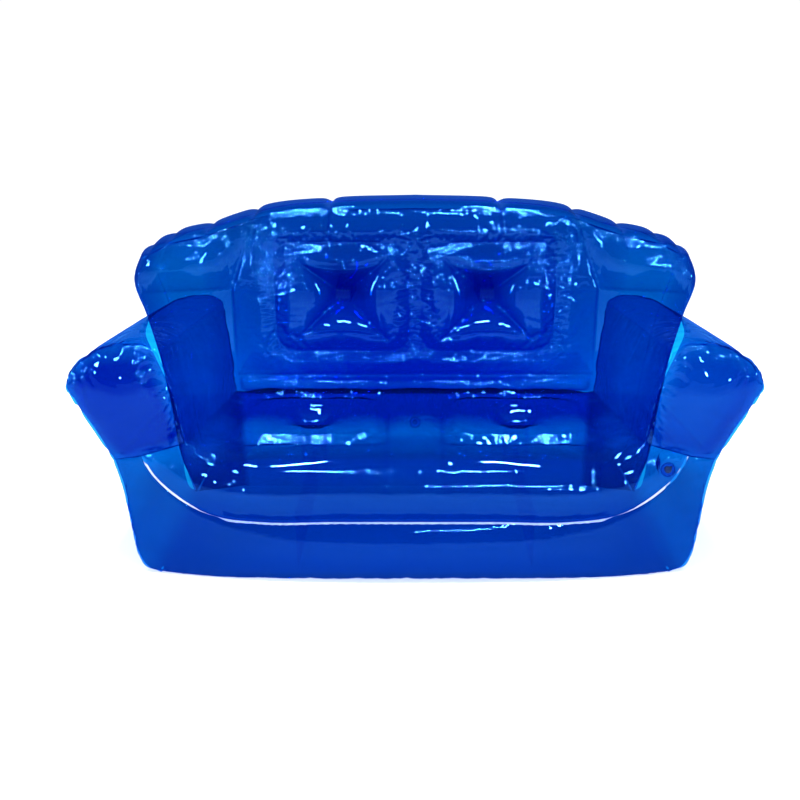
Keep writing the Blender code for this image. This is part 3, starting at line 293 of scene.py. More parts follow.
WAIST_INNER = evenly(np.array([FIN_END, CREASE_FRONT]), FRONT_ROWS)
WAIST_OUTER = evenly(np.array([FIN_END, WAIST_FRONT]), WAIST_END_COLUMNS)


def inner_side(crease_end, top_end, lean):
    middle = (crease_end + top_end) / 2 + np.array([lean, 0.0, 0.0])
    return evenly(smooth([crease_end, middle, top_end]), ARM_ROWS)


FRONT_INNER_SIDE = inner_side(CREASE_FRONT, FRONT_CREST[-1], FRONT_INNER_LEAN)
REAR_INNER_SIDE = inner_side(CREASE_REAR, REAR_CREST[-1], 0.0)
REAR_INNER_SIDE = np.array([on_back(x, z) for x, _, z in REAR_INNER_SIDE])


# %% The long fin across the front, level in the middle and rising at both ends
FIN_RISE = ((0.0, 0.0), (0.33, 0.055), (0.58, 0.20), (0.80, 0.46), (0.91, 0.66), (0.975, 0.85), (1.0, 1.0))


def fin_half():
    points = [at(0.0, FIN_DEPTH, FIN_HEIGHT), at(FIN_FLAT_HALF / 2, FIN_DEPTH, FIN_HEIGHT)]
    for across, up in FIN_RISE:
        x, depth = blend(FIN_FLAT_HALF, FIN_END_HALF, across), blend(FIN_DEPTH, FIN_END_DEPTH, across)
        points.append(at(x, depth, blend(FIN_HEIGHT, FIN_END_HEIGHT, up)))
    curve = smooth(points)
    along = lengths_along(curve)
    columns = np.interp(SEAT_HALVES, curve[:, 0], along)
    ends = np.linspace(columns[-1], along[-1], FIN_END_COLUMNS + 1)[1:]
    return at_lengths(curve, np.concatenate([columns, ends]))


FIN_RIGHT = fin_half()
FIN = joined(mirrored(FIN_RIGHT)[::-1], FIN_RIGHT)
SKIRT_TOP = joined(mirrored(WAIST_OUTER)[::-1], FIN, WAIST_OUTER)
print("fin:", len(FIN), "points,", round(lengths_along(FIN)[-1], 3), "m long")

# %% [markdown]
# ## Grids between weld lines
# A sheet is a grid of points. Its four edges are weld lines, and the inside is blended from them. This is
# a Coons patch. Where the inside must keep a form of its own, the pull of the edges fades out over a set
# reach.


# %% Patch between four lines
def fades(shares, reach):
    return clipped(1 - (shares - shares[0]) / reach)


def fitted(base, left, right, bottom, top, across_reach=1.0, along_reach=1.0, across=None, along=None):
    """left and right run from bottom to top, bottom and top from left to right."""
    across = np.linspace(0, 1, base.shape[0]) if across is None else across
    along = np.linspace(0, 1, base.shape[1]) if along is None else along
    from_left = fades(across, across_reach)[:, None, None]
    from_right = fades(1 - across[::-1], across_reach)[::-1][:, None, None]
    from_bottom = fades(along, along_reach)[None, :, None]
    from_top = fades(1 - along[::-1], along_reach)[::-1][None, :, None]
    sideways = from_left * (left - base[0])[None] + from_right * (right - base[-1])[None]
    bottom_pull = (bottom - base[:, 0])[:, None]
    top_pull = (top - base[:, -1])[:, None]
    bottom_rest = bottom_pull - from_left * bottom_pull[:1] - from_right * bottom_pull[-1:]
    top_rest = top_pull - from_left * top_pull[:1] - from_right * top_pull[-1:]
    return base + sideways + from_bottom * bottom_rest + from_top * top_rest


def spanned(left, right, bottom, top):
    return fitted(np.zeros((len(bottom), len(left), 3)), left, right, bottom, top)


def straight_between(first, second, shares):
    """A sheet of straight rows from one line to another."""
    return np.array([[blend(start, end, share) for share in shares] for start, end in zip(first, second)])


# %% Swelling and evening out
def grid_normals(grid):
    normals = np.cross(np.gradient(grid, axis=0), np.gradient(grid, axis=1))
    return normals / np.maximum(np.linalg.norm(normals, axis=2, keepdims=True), 1e-12)


def moved_out(grid, distance):
    return grid + grid_normals(grid) * distance[:, :, None]


def puffed(grid, bulge, sharpness=0.8):
    u = 1 - np.linspace(-1, 1, grid.shape[0]) ** 2
    v = 1 - np.linspace(-1, 1, grid.shape[1]) ** 2
    return moved_out(grid, bulge * (u[:, None] * v[None, :]) ** sharpness)


def hump(value, low, high, sharpness=0.7):
    """0 outside a band and 1 in its middle."""
    share = clipped((value - low) / (high - low))
    return (4 * share * (1 - share)) ** sharpness


def softened(grid, passes, pull=0.6):
    """Evens out kinks in a sheet, without moving its welds."""
    grid = grid.copy()
    for _ in range(passes):
        middle = grid[1:-1, 1:-1]
        around = grid[:-2, 1:-1] + grid[2:, 1:-1] + grid[1:-1, :-2] + grid[1:-1, 2:]
        grid[1:-1, 1:-1] = middle + pull * (around / 4 - middle)
    return grid


# %% [markdown]
# ## Tufts
# A tuft is a square where the front sheet is tied to the sheet behind it. Round the tie the film sinks
# into a four-sided well with one soft lobe on each side, and a welded ring round the well draws the film
# into a narrow puckered channel. All of that is one relief over the flat pattern, for both the seat and
# the back.

# %% Relief of a tuft, as depth below the sheet
RING_ROUNDNESS = 7
GROOVE_SHARE, EDGE_SHARE, LOBE_SHARE = 0.17, 0.05, 0.15


def from_tufts(x, y, half, height):
    """The places x and y measured from the middle of the left tuft, and then of the right one."""
    return [(x - side * half, y - height) for side in (-1, 1)]


def square_share(x, y, half_width, half_height, roundness=None):
    """0 in the middle of a rectangle and 1 on its edge."""
    a, b = np.abs(x) / half_width, np.abs(y) / half_height
    if roundness is None:
        return np.maximum(a, b)
    return (a**roundness + b**roundness) ** (1 / roundness)


def tuft(x, y, ring, well, tie_half, ring_sink, well_sink, roundness=None, edge_sink=0.0):
    """Depth below the sheet of the channel along a ring and of the well inside it."""
    a, b = np.abs(x) / well[0], np.abs(y) / well[1]
    inside = square_share(x, y, *well, roundness)
    corner = np.minimum(a, b) / np.maximum(np.maximum(a, b), 1e-6)
    fall = clipped((1 - inside) / (1 - tie_half / well[0]))
    lobe = 4 * fall * (1 - fall) * (1 - corner**3)
    around = square_share(x, y, *ring, RING_ROUNDNESS)
    groove = clipped(1 - np.abs(1 - around) / GROOVE_SHARE)
    edge = edge_sink * clipped(1 - np.abs(1 - inside) / EDGE_SHARE)
    return np.maximum(well_sink * (fall - LOBE_SHARE * lobe) + edge, ring_sink * groove**0.8)


def drawn_in(x, y, ring, well, bow=0.16):
    """How far the sides of a well bend towards its middle, as moves in x and in y."""

    def moved(across, along, half, ring_half):
        size, limit = np.abs(across), ring_half / half
        share = np.where(size < 1, size, clipped((limit - size) / (limit - 1)))
        return -np.sign(across) * half * bow * share * clipped(1 - along**2)

    a, b = x / well[0], y / well[1]
    return moved(a, b, well[0], ring[0]), moved(b, a, well[1], ring[1])


# %% [markdown]
# ## Base and seat
# The seat and its rolled front are one sheet, from the fin up over the edge and back to the crease. The
# skirt below the fin is a second one, and it swells a little between the fin and the floor.

# %% Seat
SEAT_REAR_HEIGHT = 0.298
SEAT_NOSE = ((0.006, 0.2315), (0.030, 0.300))
SEAT_ENDS = np.linspace(SEAT_HALVES[-1], CREASE_REAR_HALF, FIN_END_COLUMNS + 1)[1:]
SEAT_COLUMNS = both_sides(SEAT_HALVES + list(SEAT_ENDS))
SEAT_EVENING_PASSES = 14
SEAT_TUFT = dict(ring_sink=0.014, well_sink=0.030, roundness=2.4, edge_sink=0.004)


def seat_centre_line():
    """Depth and height of the seat in its middle, from the fin to the back."""
    points = [(FIN_DEPTH, FIN_HEIGHT), *SEAT_NOSE, (CREASE_FRONT_DEPTH, SEAT_HEIGHT)]
    top = [(depth, SEAT_HEIGHT) for depth in SEAT_DEPTHS[1:-1]]
    return np.array([*evenly(smooth(points), FRONT_ROWS), *top, (BACK_DEPTH, SEAT_REAR_HEIGHT)])


SEAT_CENTRE = seat_centre_line()
SEAT_X, SEAT_Y = np.meshgrid(SEAT_COLUMNS, SEAT_CENTRE[:, 0], indexing="ij")


def seat_grid():
    base = np.array([[at(x, depth, z) for depth, z in SEAT_CENTRE] for x in SEAT_COLUMNS])
    right = joined(WAIST_INNER, CREASE)
    past_tufts = np.clip(np.abs(SEAT_COLUMNS) - SEAT_HALVES[-1], 0, None)
    end_share = past_tufts / (CREASE_REAR_HALF - SEAT_HALVES[-1])
    rear_heights = blend(SEAT_REAR_HEIGHT, CREASE_REAR_HEIGHT, end_share)
    rear = np.array([on_back(x, z) for x, z in zip(SEAT_COLUMNS, rear_heights)])
    grid = fitted(
        base, mirrored(right), right, FIN, rear,
        across_reach=(FIN_END_COLUMNS + 5) / (len(SEAT_COLUMNS) - 1),
        along_reach=(FRONT_ROWS + 8) / (len(SEAT_CENTRE) - 1),
    )
    grid = softened(grid, SEAT_EVENING_PASSES)
    on_top = np.arange(len(SEAT_CENTRE)) > FRONT_ROWS
    on_top[-1] = False
    for place in from_tufts(SEAT_X, SEAT_Y, SEAT_TUFT_HALF, SEAT_TUFT_DEPTH):
        grid[:, :, 2] -= tuft(*place, SEAT_RING, SEAT_WELL, SEAT_TIE_HALF, **SEAT_TUFT) * on_top
    return grid


# %% Deck, skirt and the front edge of the floor panel
FLOOR_FRONT_DEPTH, FLOOR_STRAIGHT_SHARE = 0.058, 0.62
SKIRT_BULGE, SKIRT_EVENING_PASSES = 0.034, 60


def deck_grid():
    rise = (FIN_END_REAR[2] - FIN_HEIGHT) / (FIN_END_HEIGHT - FIN_HEIGHT)
    rear = np.array([on_back(x, FIN_HEIGHT + (z - FIN_HEIGHT) * rise) for x, _, z in FIN])
    return straight_between(FIN, rear, np.linspace(0, 1, 24))


def floor_line():
    along = lengths_along(SKIRT_TOP)
    sides = 2 * along / along[-1] - 1
    corners = clipped((np.abs(sides) - FLOOR_STRAIGHT_SHARE) / (1 - FLOOR_STRAIGHT_SHARE)) ** 2
    depths = blend(FLOOR_FRONT_DEPTH, FOOT_CORNER_DEPTH, corners)
    return np.array([at(FOOT_HALF * side, depth, 0.0) for side, depth in zip(sides, depths)])


FLOOR_LINE = floor_line()
SEAT = seat_grid()
DECK = deck_grid()
SKIRT = puffed(spanned(mirrored(FRONT_SKIRT_SIDE), FRONT_SKIRT_SIDE, FLOOR_LINE, SKIRT_TOP), SKIRT_BULGE)
SKIRT = softened(SKIRT, SKIRT_EVENING_PASSES)
print("seat grid", SEAT.shape[:2], "skirt grid", SKIRT.shape[:2])

# %% [markdown]
# ## Arms
# An arm is three sheets: a long outer one from the floor over the crest, an inner one beside the seat,
# and a face at the front that swells like a drum.

# %% Sheets of the right arm
ARM_INNER_BULGE, ARM_FRONT_BULGE = 0.020, 0.044
FRONT_SEAM = joined(FRONT_SKIRT_SIDE, FRONT_FLARE, FRONT_CREST)
REAR_SEAM = joined(REAR_SKIRT_SIDE, REAR_FLARE, REAR_CREST)
ARM_OUTER = straight_between(FRONT_SEAM, REAR_SEAM, SIDE_SHARES)[:, ::-1]
ARM_INNER = puffed(spanned(FRONT_INNER_SIDE, REAR_INNER_SIDE, CREASE, INNER_TOP)[::-1], ARM_INNER_BULGE)
WAIST_LINE = joined(WAIST_INNER[::-1], WAIST_OUTER)
ARM_FRONT = puffed(spanned(FRONT_INNER_SIDE, FRONT_FLARE, WAIST_LINE, FRONT_CREST[::-1]), ARM_FRONT_BULGE)
WAIST_REAR_LINE = joined(
    evenly(np.array([CREASE_REAR, FIN_END_REAR]), FRONT_ROWS),
    evenly(np.array([FIN_END_REAR, WAIST_REAR]), WAIST_END_COLUMNS),
)
WAIST_WEB = straight_between(WAIST_LINE, WAIST_REAR_LINE, np.linspace(0, 1, 30))
print("arm grids", ARM_OUTER.shape[:2], ARM_INNER.shape[:2], ARM_FRONT.shape[:2])

# %% [markdown]
# ## Back
# The front of the back carries a roll above the seat, two tufted squares and two wings. The same flat
# pattern is used for the rear sheet, and a band joins the two round the edge.

# %% Flat pattern of the back
BACK_TUFT_HALF, BACK_TUFT_HEIGHT, BACK_TIE_HALF = 0.210, 0.590, 0.025
BACK_RING, BACK_WELL = (0.195, 0.157), (0.128, 0.114)
BACK_CORNER_HALF, BACK_CORNER_HEIGHT, BACK_FOOT_HALF = 0.757, 0.715, 0.668
ROLL_BOTTOM, ROLL_TOP, ARM_LINE_HEIGHT = 0.308, 0.356, 0.615
tuft_columns = around_tuft(BACK_TUFT_HALF, BACK_RING[0], BACK_WELL[0], BACK_TIE_HALF)
tuft_rows = around_tuft(BACK_TUFT_HEIGHT, BACK_RING[1], BACK_WELL[1], BACK_TIE_HALF)
roll_rows = [ROLL_BOTTOM, (ROLL_BOTTOM + ROLL_TOP) / 2, ROLL_TOP]
BACK_COLUMNS = both_sides(stops_between([0.0, *tuft_columns, FOLD_HALF, BACK_CORNER_HALF]))
BACK_ROWS = np.array(stops_between([0.0, *roll_rows, *tuft_rows, BACK_TOP]))
BACK_X, BACK_Z = np.meshgrid(BACK_COLUMNS, BACK_ROWS, indexing="ij")
# Points of the back's edge, as shares of the way from the waist to the wing and of its corner's half width.
WING_SHARES = ((0.31, 0.36), (0.68, 0.71))
ARCH_SHARES = (
    (0.0, 1.0), (0.317, 0.945), (0.594, 0.764), (0.687, 0.59), (0.773, 0.433), (0.911, 0.26), (1.0, 0.0),
)


def wing_side(depth_of):
    waist_half = WAIST_HALF - 0.003
    flare = [
        (blend(waist_half, WING_HALF, across), blend(WAIST_HEIGHT, WING_HEIGHT, up))
        for across, up in WING_SHARES
    ]
    low = [
        (BACK_FOOT_HALF, 0.0),
        (blend(BACK_FOOT_HALF, waist_half, 0.60), WAIST_HEIGHT * 0.33),
        (waist_half, WAIST_HEIGHT * 0.90),
    ]
    curve = smooth(low + flare + [(WING_HALF, WING_HEIGHT), (BACK_CORNER_HALF, BACK_CORNER_HEIGHT)])
    heights = BACK_ROWS * BACK_CORNER_HEIGHT / BACK_TOP
    x = np.interp(heights, curve[:, 1], curve[:, 0])
    return np.array([at(across, depth_of(across, z), z) for across, z in zip(x, heights)])


def arch(depth_of):
    curve = smooth(
        [(BACK_CORNER_HALF * across, blend(BACK_CORNER_HEIGHT, BACK_TOP, up)) for across, up in ARCH_SHARES]
    )
    heights = np.interp(np.abs(BACK_COLUMNS), curve[:, 0], curve[:, 1])
    return np.array([at(x, depth_of(x, z), z) for x, z in zip(BACK_COLUMNS, heights)])


def back_pattern(depth_of):
    base = np.array([[at(x, depth_of(x, z), z) for z in BACK_ROWS] for x in BACK_COLUMNS])
    bottom = base[:, 0].copy()
    share = clipped((np.abs(BACK_COLUMNS) - FOLD_HALF) / (BACK_CORNER_HALF - FOLD_HALF))
    outer = np.sign(BACK_COLUMNS) * blend(FOLD_HALF, BACK_FOOT_HALF, share)
    bottom[:, 0] = np.where(share > 0, outer, BACK_COLUMNS)
    side = wing_side(depth_of)
    width = BACK_COLUMNS[-1] - BACK_COLUMNS[0]
    grid = fitted(
        base, mirrored(side), side, bottom, arch(depth_of),
        across_reach=(BACK_CORNER_HALF - FOLD_HALF) / width,
        along_reach=(BACK_TOP - BACK_TUFT_HEIGHT - BACK_RING[1]) / BACK_TOP,
        across=(BACK_COLUMNS - BACK_COLUMNS[0]) / width,
        along=BACK_ROWS / BACK_TOP,
    )
    grid[:, :, 1] = depth_of(grid[:, :, 0], grid[:, :, 2]) - DEPTH / 2
    return grid


# %% Air, roll and tufts on the front of the back
ROLL_BULGE, MIDDLE_BULGE, WING_BULGE, REAR_BULGE = 0.030, 0.048, 0.034, 0.045
ROLL_HALF, FOLD_TURN_IN, REAR_WELL_SINK = 0.515, 0.090, 0.030
BACK_TUFT = dict(ring_sink=0.018, well_sink=0.075, edge_sink=0.0035)


def back_relief(grid):
    x, z = BACK_X, BACK_Z
    real_x, real_z = grid[:, :, 0], grid[:, :, 2]
    fold = FOLD_HALF - FOLD_TURN_IN * clipped((z - ARM_LINE_HEIGHT) / (BACK_TOP - ARM_LINE_HEIGHT))
    roll = ROLL_BULGE * hump(z, ROLL_BOTTOM, ROLL_TOP) * hump(x, -ROLL_HALF, ROLL_HALF, 0.25)
    middle_height = hump(z, ROLL_TOP, BACK_TOP, 0.6)
    middle = MIDDLE_BULGE * middle_height * hump(x, -fold, fold, 0.5)
    wing_height = hump(real_z, ARM_LINE_HEIGHT, real_z[:, -1:], 0.6)
    wing = WING_BULGE * hump(np.abs(real_x), fold, WING_HALF) * wing_height
    relief = roll + middle + wing
    for place in from_tufts(x, z, BACK_TUFT_HALF, BACK_TUFT_HEIGHT):
        relief -= tuft(*place, BACK_RING, BACK_WELL, BACK_TIE_HALF, **BACK_TUFT) * (middle_height > 0)
    relief[0] = relief[-1] = 0
    relief[:, -1] = 0
    return relief


def back_front_grid():
    grid = back_pattern(back_face)
    grid[:, :, 1] -= back_relief(grid)
    for place in from_tufts(BACK_X, BACK_Z, BACK_TUFT_HALF, BACK_TUFT_HEIGHT):
        move_x, move_z = drawn_in(*place, BACK_RING, BACK_WELL)
        grid[:, :, 0] += move_x
        grid[:, :, 2] += move_z
    return grid


def back_rear_grid():
    grid = back_pattern(rear_face)
    across, up = np.abs(BACK_X) - BACK_TUFT_HALF, BACK_Z - BACK_TUFT_HEIGHT
    bulge = REAR_BULGE * hump(BACK_Z, 0.0, BACK_TOP, 0.6)
    bulge = bulge * hump(BACK_X, -BACK_CORNER_HALF, BACK_CORNER_HALF, 0.5)
    share = square_share(across, up, *BACK_WELL, roundness=2.6)
    grid[:, :, 1] += bulge - REAR_WELL_SINK * clipped(1 - share) ** 1.4
    return grid


BACK_FRONT = back_front_grid()
BACK_REAR = back_rear_grid()

# %% The band round the back, drawn in where the photographed rim is pinched
PINCH_HALVES = (0.245, 0.460, 0.590, 0.690, 0.744)
RIM_BULGE, PINCH_DEPTH, PINCH_WIDTH = 0.024, 0.020, 0.009


def rim_seam(depth_of):
    side = wing_side(depth_of)
    return joined(mirrored(side), arch(depth_of), side[::-1])


def rim_grid():
    front, rear = rim_seam(back_face), rim_seam(rear_face)
    shares = np.linspace(0, 1, RIM_ROWS + 1)
    grid = straight_between(front, rear, shares)
    half_width, height = np.abs(front[:, 0]), front[:, 2]
    pinch = np.max([np.exp(-np.abs(half_width - half) / PINCH_WIDTH) for half in PINCH_HALVES], axis=0)
    swell = RIM_BULGE - PINCH_DEPTH * pinch * (height > WING_HEIGHT)
    near_floor = clipped(height / (WAIST_HEIGHT / 4))
    return moved_out(grid, (swell * near_floor)[:, None] * hump(shares, 0.0, 1.0, 0.6)[None, :])


def floor_grid():
    side_columns = (len(FLOOR_LINE) - 1) // 9
    middle_columns = len(FLOOR_LINE) - 1 - 2 * side_columns
    rear_x = joined(
        np.linspace(-BACK_FOOT_HALF, -FOLD_HALF, side_columns + 1),
        np.linspace(-FOLD_HALF, FOLD_HALF, middle_columns + 1),
        np.linspace(FOLD_HALF, BACK_FOOT_HALF, side_columns + 1),
    )
    rear = np.array([at(x, rear_face(x, 0.0), 0.0) for x in rear_x])
    foot = REAR_SKIRT_SIDE[0]
    right = joined(
        np.array([blend(FLOOR_LINE[-1], foot, share) for share in SIDE_SHARES]),
        evenly(np.array([foot, rear[-1]]), RIM_ROWS),
    )
    return spanned(mirrored(right), right, FLOOR_LINE, rear)[:, ::-1]


RIM = rim_grid()
FLOOR = floor_grid()
print("back grid", BACK_FRONT.shape[:2], "rim grid", RIM.shape[:2], "floor grid", FLOOR.shape[:2])

# %% [markdown]
# ## Air pressure
# Each sheet is now blown up for a moment by Blender's cloth simulation. Its welds are held, the film
# between them is cut up to three percent too large, and air pushes on it from inside. So the spare film
# finds its own soft buckles, above all across the puckered rings. Only the moved points are kept, and no
# simulation stays in the file.


# %% Simulation of one sheet
def sheet_mesh(name, grid):
    columns, rows = grid.shape[:2]
    places = np.arange(columns * rows).reshape(columns, rows)
    corners = [places[:-1, :-1], places[1:, :-1], places[1:, 1:], places[:-1, 1:]]
    mesh = bpy.data.meshes.new(name)
    mesh.from_pydata(grid.reshape(-1, 3).tolist(), [], np.stack(corners, axis=2).reshape(-1, 4).tolist())
    return mesh


def blown(name, grid, held, growth, cap, looseness=1.0, pressure=2.0, frames=16):
    """The sheet after a short time under pressure, with no point further than cap from its place."""
    clock = time.time()
    sheet = bpy.data.objects.new(name, sheet_mesh(name, grid))
    bpy.context.scene.collection.objects.link(sheet)
    sheet.vertex_groups.new(name="held").add(np.flatnonzero(held.ravel()).tolist(), 1.0, "REPLACE")
    modifier = sheet.modifiers.new("air", "CLOTH")
    cloth = modifier.settings
    cloth.vertex_group_mass = "held"
    cloth.use_pressure = True
    cloth.uniform_pressure_force = pressure
    cloth.quality = 5
    cloth.mass = 0.2
    cloth.tension_stiffness = cloth.compression_stiffness = 40.0
    cloth.shear_stiffness = 20.0
    cloth.bending_stiffness = 0.05
    cloth.shrink_min = -growth
    cloth.air_damping = 4.0
    cloth.effector_weights.gravity = 0.0
    modifier.collision_settings.use_collision = False
    modifier.point_cache.frame_start, modifier.point_cache.frame_end = 1, frames
    for frame_number in range(1, frames + 1):
        bpy.context.scene.frame_set(frame_number)
    shaped = sheet.evaluated_get(bpy.context.evaluated_depsgraph_get())
    places = np.empty(grid.size)
    shaped.data.vertices.foreach_get("co", places)
    bpy.context.scene.frame_set(1)
    bpy.data.meshes.remove(sheet.data)
    move = places.reshape(grid.shape) - grid
    size = np.maximum(np.linalg.norm(move, axis=2, keepdims=True), 1e-9)
    move *= cap * np.tanh(size / cap) / size * np.broadcast_to(looseness, held.shape)[:, :, None]
    furthest = 1000 * float(np.abs(move).max())
    print(name, "moved up to", round(furthest, 1), "mm in", round(time.time() - clock, 1), "s")
    return grid + move


def rim_held(grid):
    held = np.zeros(grid.shape[:2], bool)
    held[[0, -1]] = held[:, [0, -1]] = True
    return held


# %% Tufted sheets, with their rings and ties held
def ring_gap(x, y, ring):
    """How far a place on the flat pattern lies from a ring weld."""
    return np.abs(square_share(x, y, *ring, RING_ROUNDNESS) - 1) * min(ring)


def tufts_held(places, ring, tie_half, weld_half=0.005):
    """Which points a pair of tufts holds, and how far each point lies from the nearer ring."""
    held, gap = False, 1.0
    for x, y in places:
        near = ring_gap(x, y, ring)
        held |= (np.maximum(np.abs(x), np.abs(y)) < tie_half + 0.001) | (near < weld_half)
        gap = np.minimum(gap, near)
    return held, gap


def softened_values(values, passes=20):
    return softened(values[:, :, None], passes)[:, :, 0]


def blown_seat():
    on_top = np.arange(SEAT.shape[1])[None, :] > FRONT_ROWS
    places = from_tufts(SEAT_X, SEAT_Y, SEAT_TUFT_HALF, SEAT_TUFT_DEPTH)
    on_tufts, gap = tufts_held(places, SEAT_RING, SEAT_TIE_HALF)
    looseness = np.where(on_top, 0.22 + 0.40 * np.exp(-((gap / 0.05) ** 2)), 0.12)
    held = rim_held(SEAT) | (on_tufts & on_top)
    return blown("seat", SEAT, held, 0.03, 0.016, softened_values(looseness))


def blown_back():
    half, z, real_z = np.abs(BACK_X), BACK_Z, BACK_FRONT[:, :, 2]
    places = from_tufts(BACK_X, BACK_Z, BACK_TUFT_HALF, BACK_TUFT_HEIGHT)
    held, gap = tufts_held(places, BACK_RING, BACK_TIE_HALF)
    held |= rim_held(BACK_FRONT) | (z < ROLL_BOTTOM + 0.001)
    held |= (np.abs(z - ROLL_TOP) < 0.003) & (half < FOLD_HALF + 0.001)
    held |= (np.abs(half - FOLD_HALF) < 0.003) & (z < ARM_LINE_HEIGHT)
    held |= (half > FOLD_HALF) & (real_z < ARM_LINE_HEIGHT - 0.01)
    looseness = softened_values(0.28 + 0.72 * np.exp(-((gap / 0.045) ** 2)))
    return blown("back", BACK_FRONT, held, 0.03, 0.016, looseness)


SEAT = blown_seat()
BACK_FRONT = blown_back()
ARM_OUTER = blown("arm outer", ARM_OUTER, rim_held(ARM_OUTER), 0.010, 0.010, pressure=1.2)
ARM_INNER = blown("arm inner", ARM_INNER, rim_held(ARM_INNER), 0.015, 0.010)
ARM_FRONT = blown("arm front", ARM_FRONT, rim_held(ARM_FRONT), 0.015, 0.010)
SKIRT = blown("skirt", SKIRT, rim_held(SKIRT), 0.004, 0.006, looseness=0.15, pressure=1.2)

# %% [markdown]
# ## Creases along the welds
# A flat sheet that is blown up has too much film along its edges, and the spare film folds into creases
# that run in from the weld. Small creases lie close together right at the weld and merge into fewer and
# longer ones further in. So up to three layers are added, each with wider spacing and longer reach than
# the one before. Every crease has its own length, depth and slant, drawn from a seeded random stream, so
# the result is the same each time.


# %% Twice as many points, on smooth curves
def doubled(grid):
    for axis in (0, 1):
        grid = np.moveaxis(grid, axis, 0)
        wide = np.concatenate([2 * grid[:1] - grid[1:2], grid, 2 * grid[-1:] - grid[-2:-1]])
        fine = np.empty((2 * len(grid) - 1, *grid.shape[1:]))
        fine[::2] = grid
        fine[1::2] = (9 * (wide[1:-2] + wide[2:-1]) - wide[:-3] - wide[3:]) / 16
        grid = np.moveaxis(fine, 0, axis)
    return grid


def midpoints_too(values):
    return np.interp(np.arange(0, len(values) - 0.5, 0.5), np.arange(len(values)), values)


def distances(grid):
    """How far each point lies from the four welds, over the sheet."""
    across = np.linalg.norm(np.diff(grid, axis=0), axis=2)
    along = np.linalg.norm(np.diff(grid, axis=1), axis=2)
    from_left = np.concatenate([np.zeros((1, grid.shape[1])), np.cumsum(across, axis=0)])
    from_bottom = np.concatenate([np.zeros((grid.shape[0], 1)), np.cumsum(along, axis=1)], axis=1)
    return {
        "left": from_left,
        "right": from_left[-1:] - from_left,
        "bottom": from_bottom,
        "top": from_bottom[:, -1:] - from_bottom,
    }


def edge_lengths(grid, side):
    line = {"left": grid[0], "right": grid[-1], "bottom": grid[:, 0], "top": grid[:, -1]}[side]
    along = lengths_along(line)
    return along[None, :] if side in ("left", "right") else along[:, None]


# %% One layer of creases
def crease_places(length, spacing, random):
    """Uneven places of creases, from just before 0 to just past the length."""
    steps = spacing * random.uniform(0.55, 1.45, int(1.6 * length / spacing) + 6)
    return np.cumsum(steps) - 2 * spacing


def crease_layer(along, distance, depth, spacing, reach, random):
    """How far a sheet sinks into one layer of creases."""
    places = crease_places(float(along.max()), spacing, random)
    depths = depth * random.uniform(0.25, 1.0, len(places))
    reaches = reach * random.uniform(0.35, 1.4, len(places))
    slants = random.normal(0, 0.22, len(places))
    after = np.searchsorted(places, along)
    sink = 0.0
    for step in (-2, -1, 0, 1):
        which = np.clip(after + step, 0, len(places) - 1)
        off = np.abs(along - places[which] - slants[which] * distance)
        width = spacing * 0.17 + 0.12 * distance
        fade = np.exp(-((distance / reaches[which]) ** 1.5))
        sink = np.maximum(sink, depths[which] * fade * np.exp(-off / width))
    between = 0.45 * depth * np.exp(-((distance / reach) ** 1.5))
    return (sink - between) * (1 - np.exp(-distance / (0.12 * spacing)))


# %% Creases of welds and of rings
CREASE_SIZES = (1.0, 2.4, 5.5)
FLAT_RIM = 0.003
RING_CREASE_SPACING, RING_CREASE_REACH = 0.0135, 0.031


def creased(grid, welds, seed, layers=3):
    """welds gives a depth, a spacing and a reach in metres for each side that has creases."""
    random = np.random.default_rng(seed)
    far = distances(grid)
    sink = np.zeros(grid.shape[:2])
    for side, (depth, spacing, reach) in welds.items():
        along = edge_lengths(grid, side)
        for size in CREASE_SIZES[:layers]:
            deeper = depth * size**0.75
            sink += crease_layer(along, far[side], deeper, spacing * size, reach * size, random)
    rim = np.min([far[side] for side in far], axis=0)
    return moved_out(grid, -sink * clipped(rim / FLAT_RIM))


def ring_creases(grid, x, y, ring, seed, depth):
    """Creases that cross a ring weld, on both sides of it. x and y are places on the flat pattern."""
    random = np.random.default_rng(seed)
    gap = ring_gap(x, y, ring)
    on_side = np.abs(x) / ring[0] > np.abs(y) / ring[1]
    walls = ((on_side & (x > 0), y), (on_side & (x <= 0), y))
    walls += ((~on_side & (y > 0), x), (~on_side & (y <= 0), x))
    sink = np.zeros_like(x)
    for chosen, along in walls:
        layer = crease_layer(along + max(ring), gap, depth, RING_CREASE_SPACING, RING_CREASE_REACH, random)
        sink = np.where(chosen, layer, sink)
    return moved_out(grid, -sink)


# %% [markdown]
# ## Long pinches
# Where the rim of the back is pinched, one long crease runs down the front sheet towards the tufts. These
# few are placed one by one, because the eye finds them at once.


# %% Long creases at chosen places
def long_creases(grid, side, creases):
    """creases lists place along the weld, depth, reach, slant and width, all but the slant in metres."""
    far = distances(grid)[side]
    along = edge_lengths(grid, side)
    sink = np.zeros(grid.shape[:2])
    for place, depth, reach, slant, width in creases:
        off = np.abs(along - place - slant * far)
        fade = clipped(1 - far / reach) ** 0.8 * clipped(far / 0.004)
        sink = np.maximum(sink, depth * fade * np.exp(-off / (width + 0.05 * far)))
    return moved_out(grid, -sink)


def place_of(line, x):
    """Length along a line where it passes a given x."""
    return float(np.interp(x, line[:, 0], lengths_along(line)))


# %% [markdown]
# ## Shader maths
# Finishes are built from nodes. A small class wraps one output of a node, so that sums on it can be
# written as ordinary Python and each sum adds its Math node.


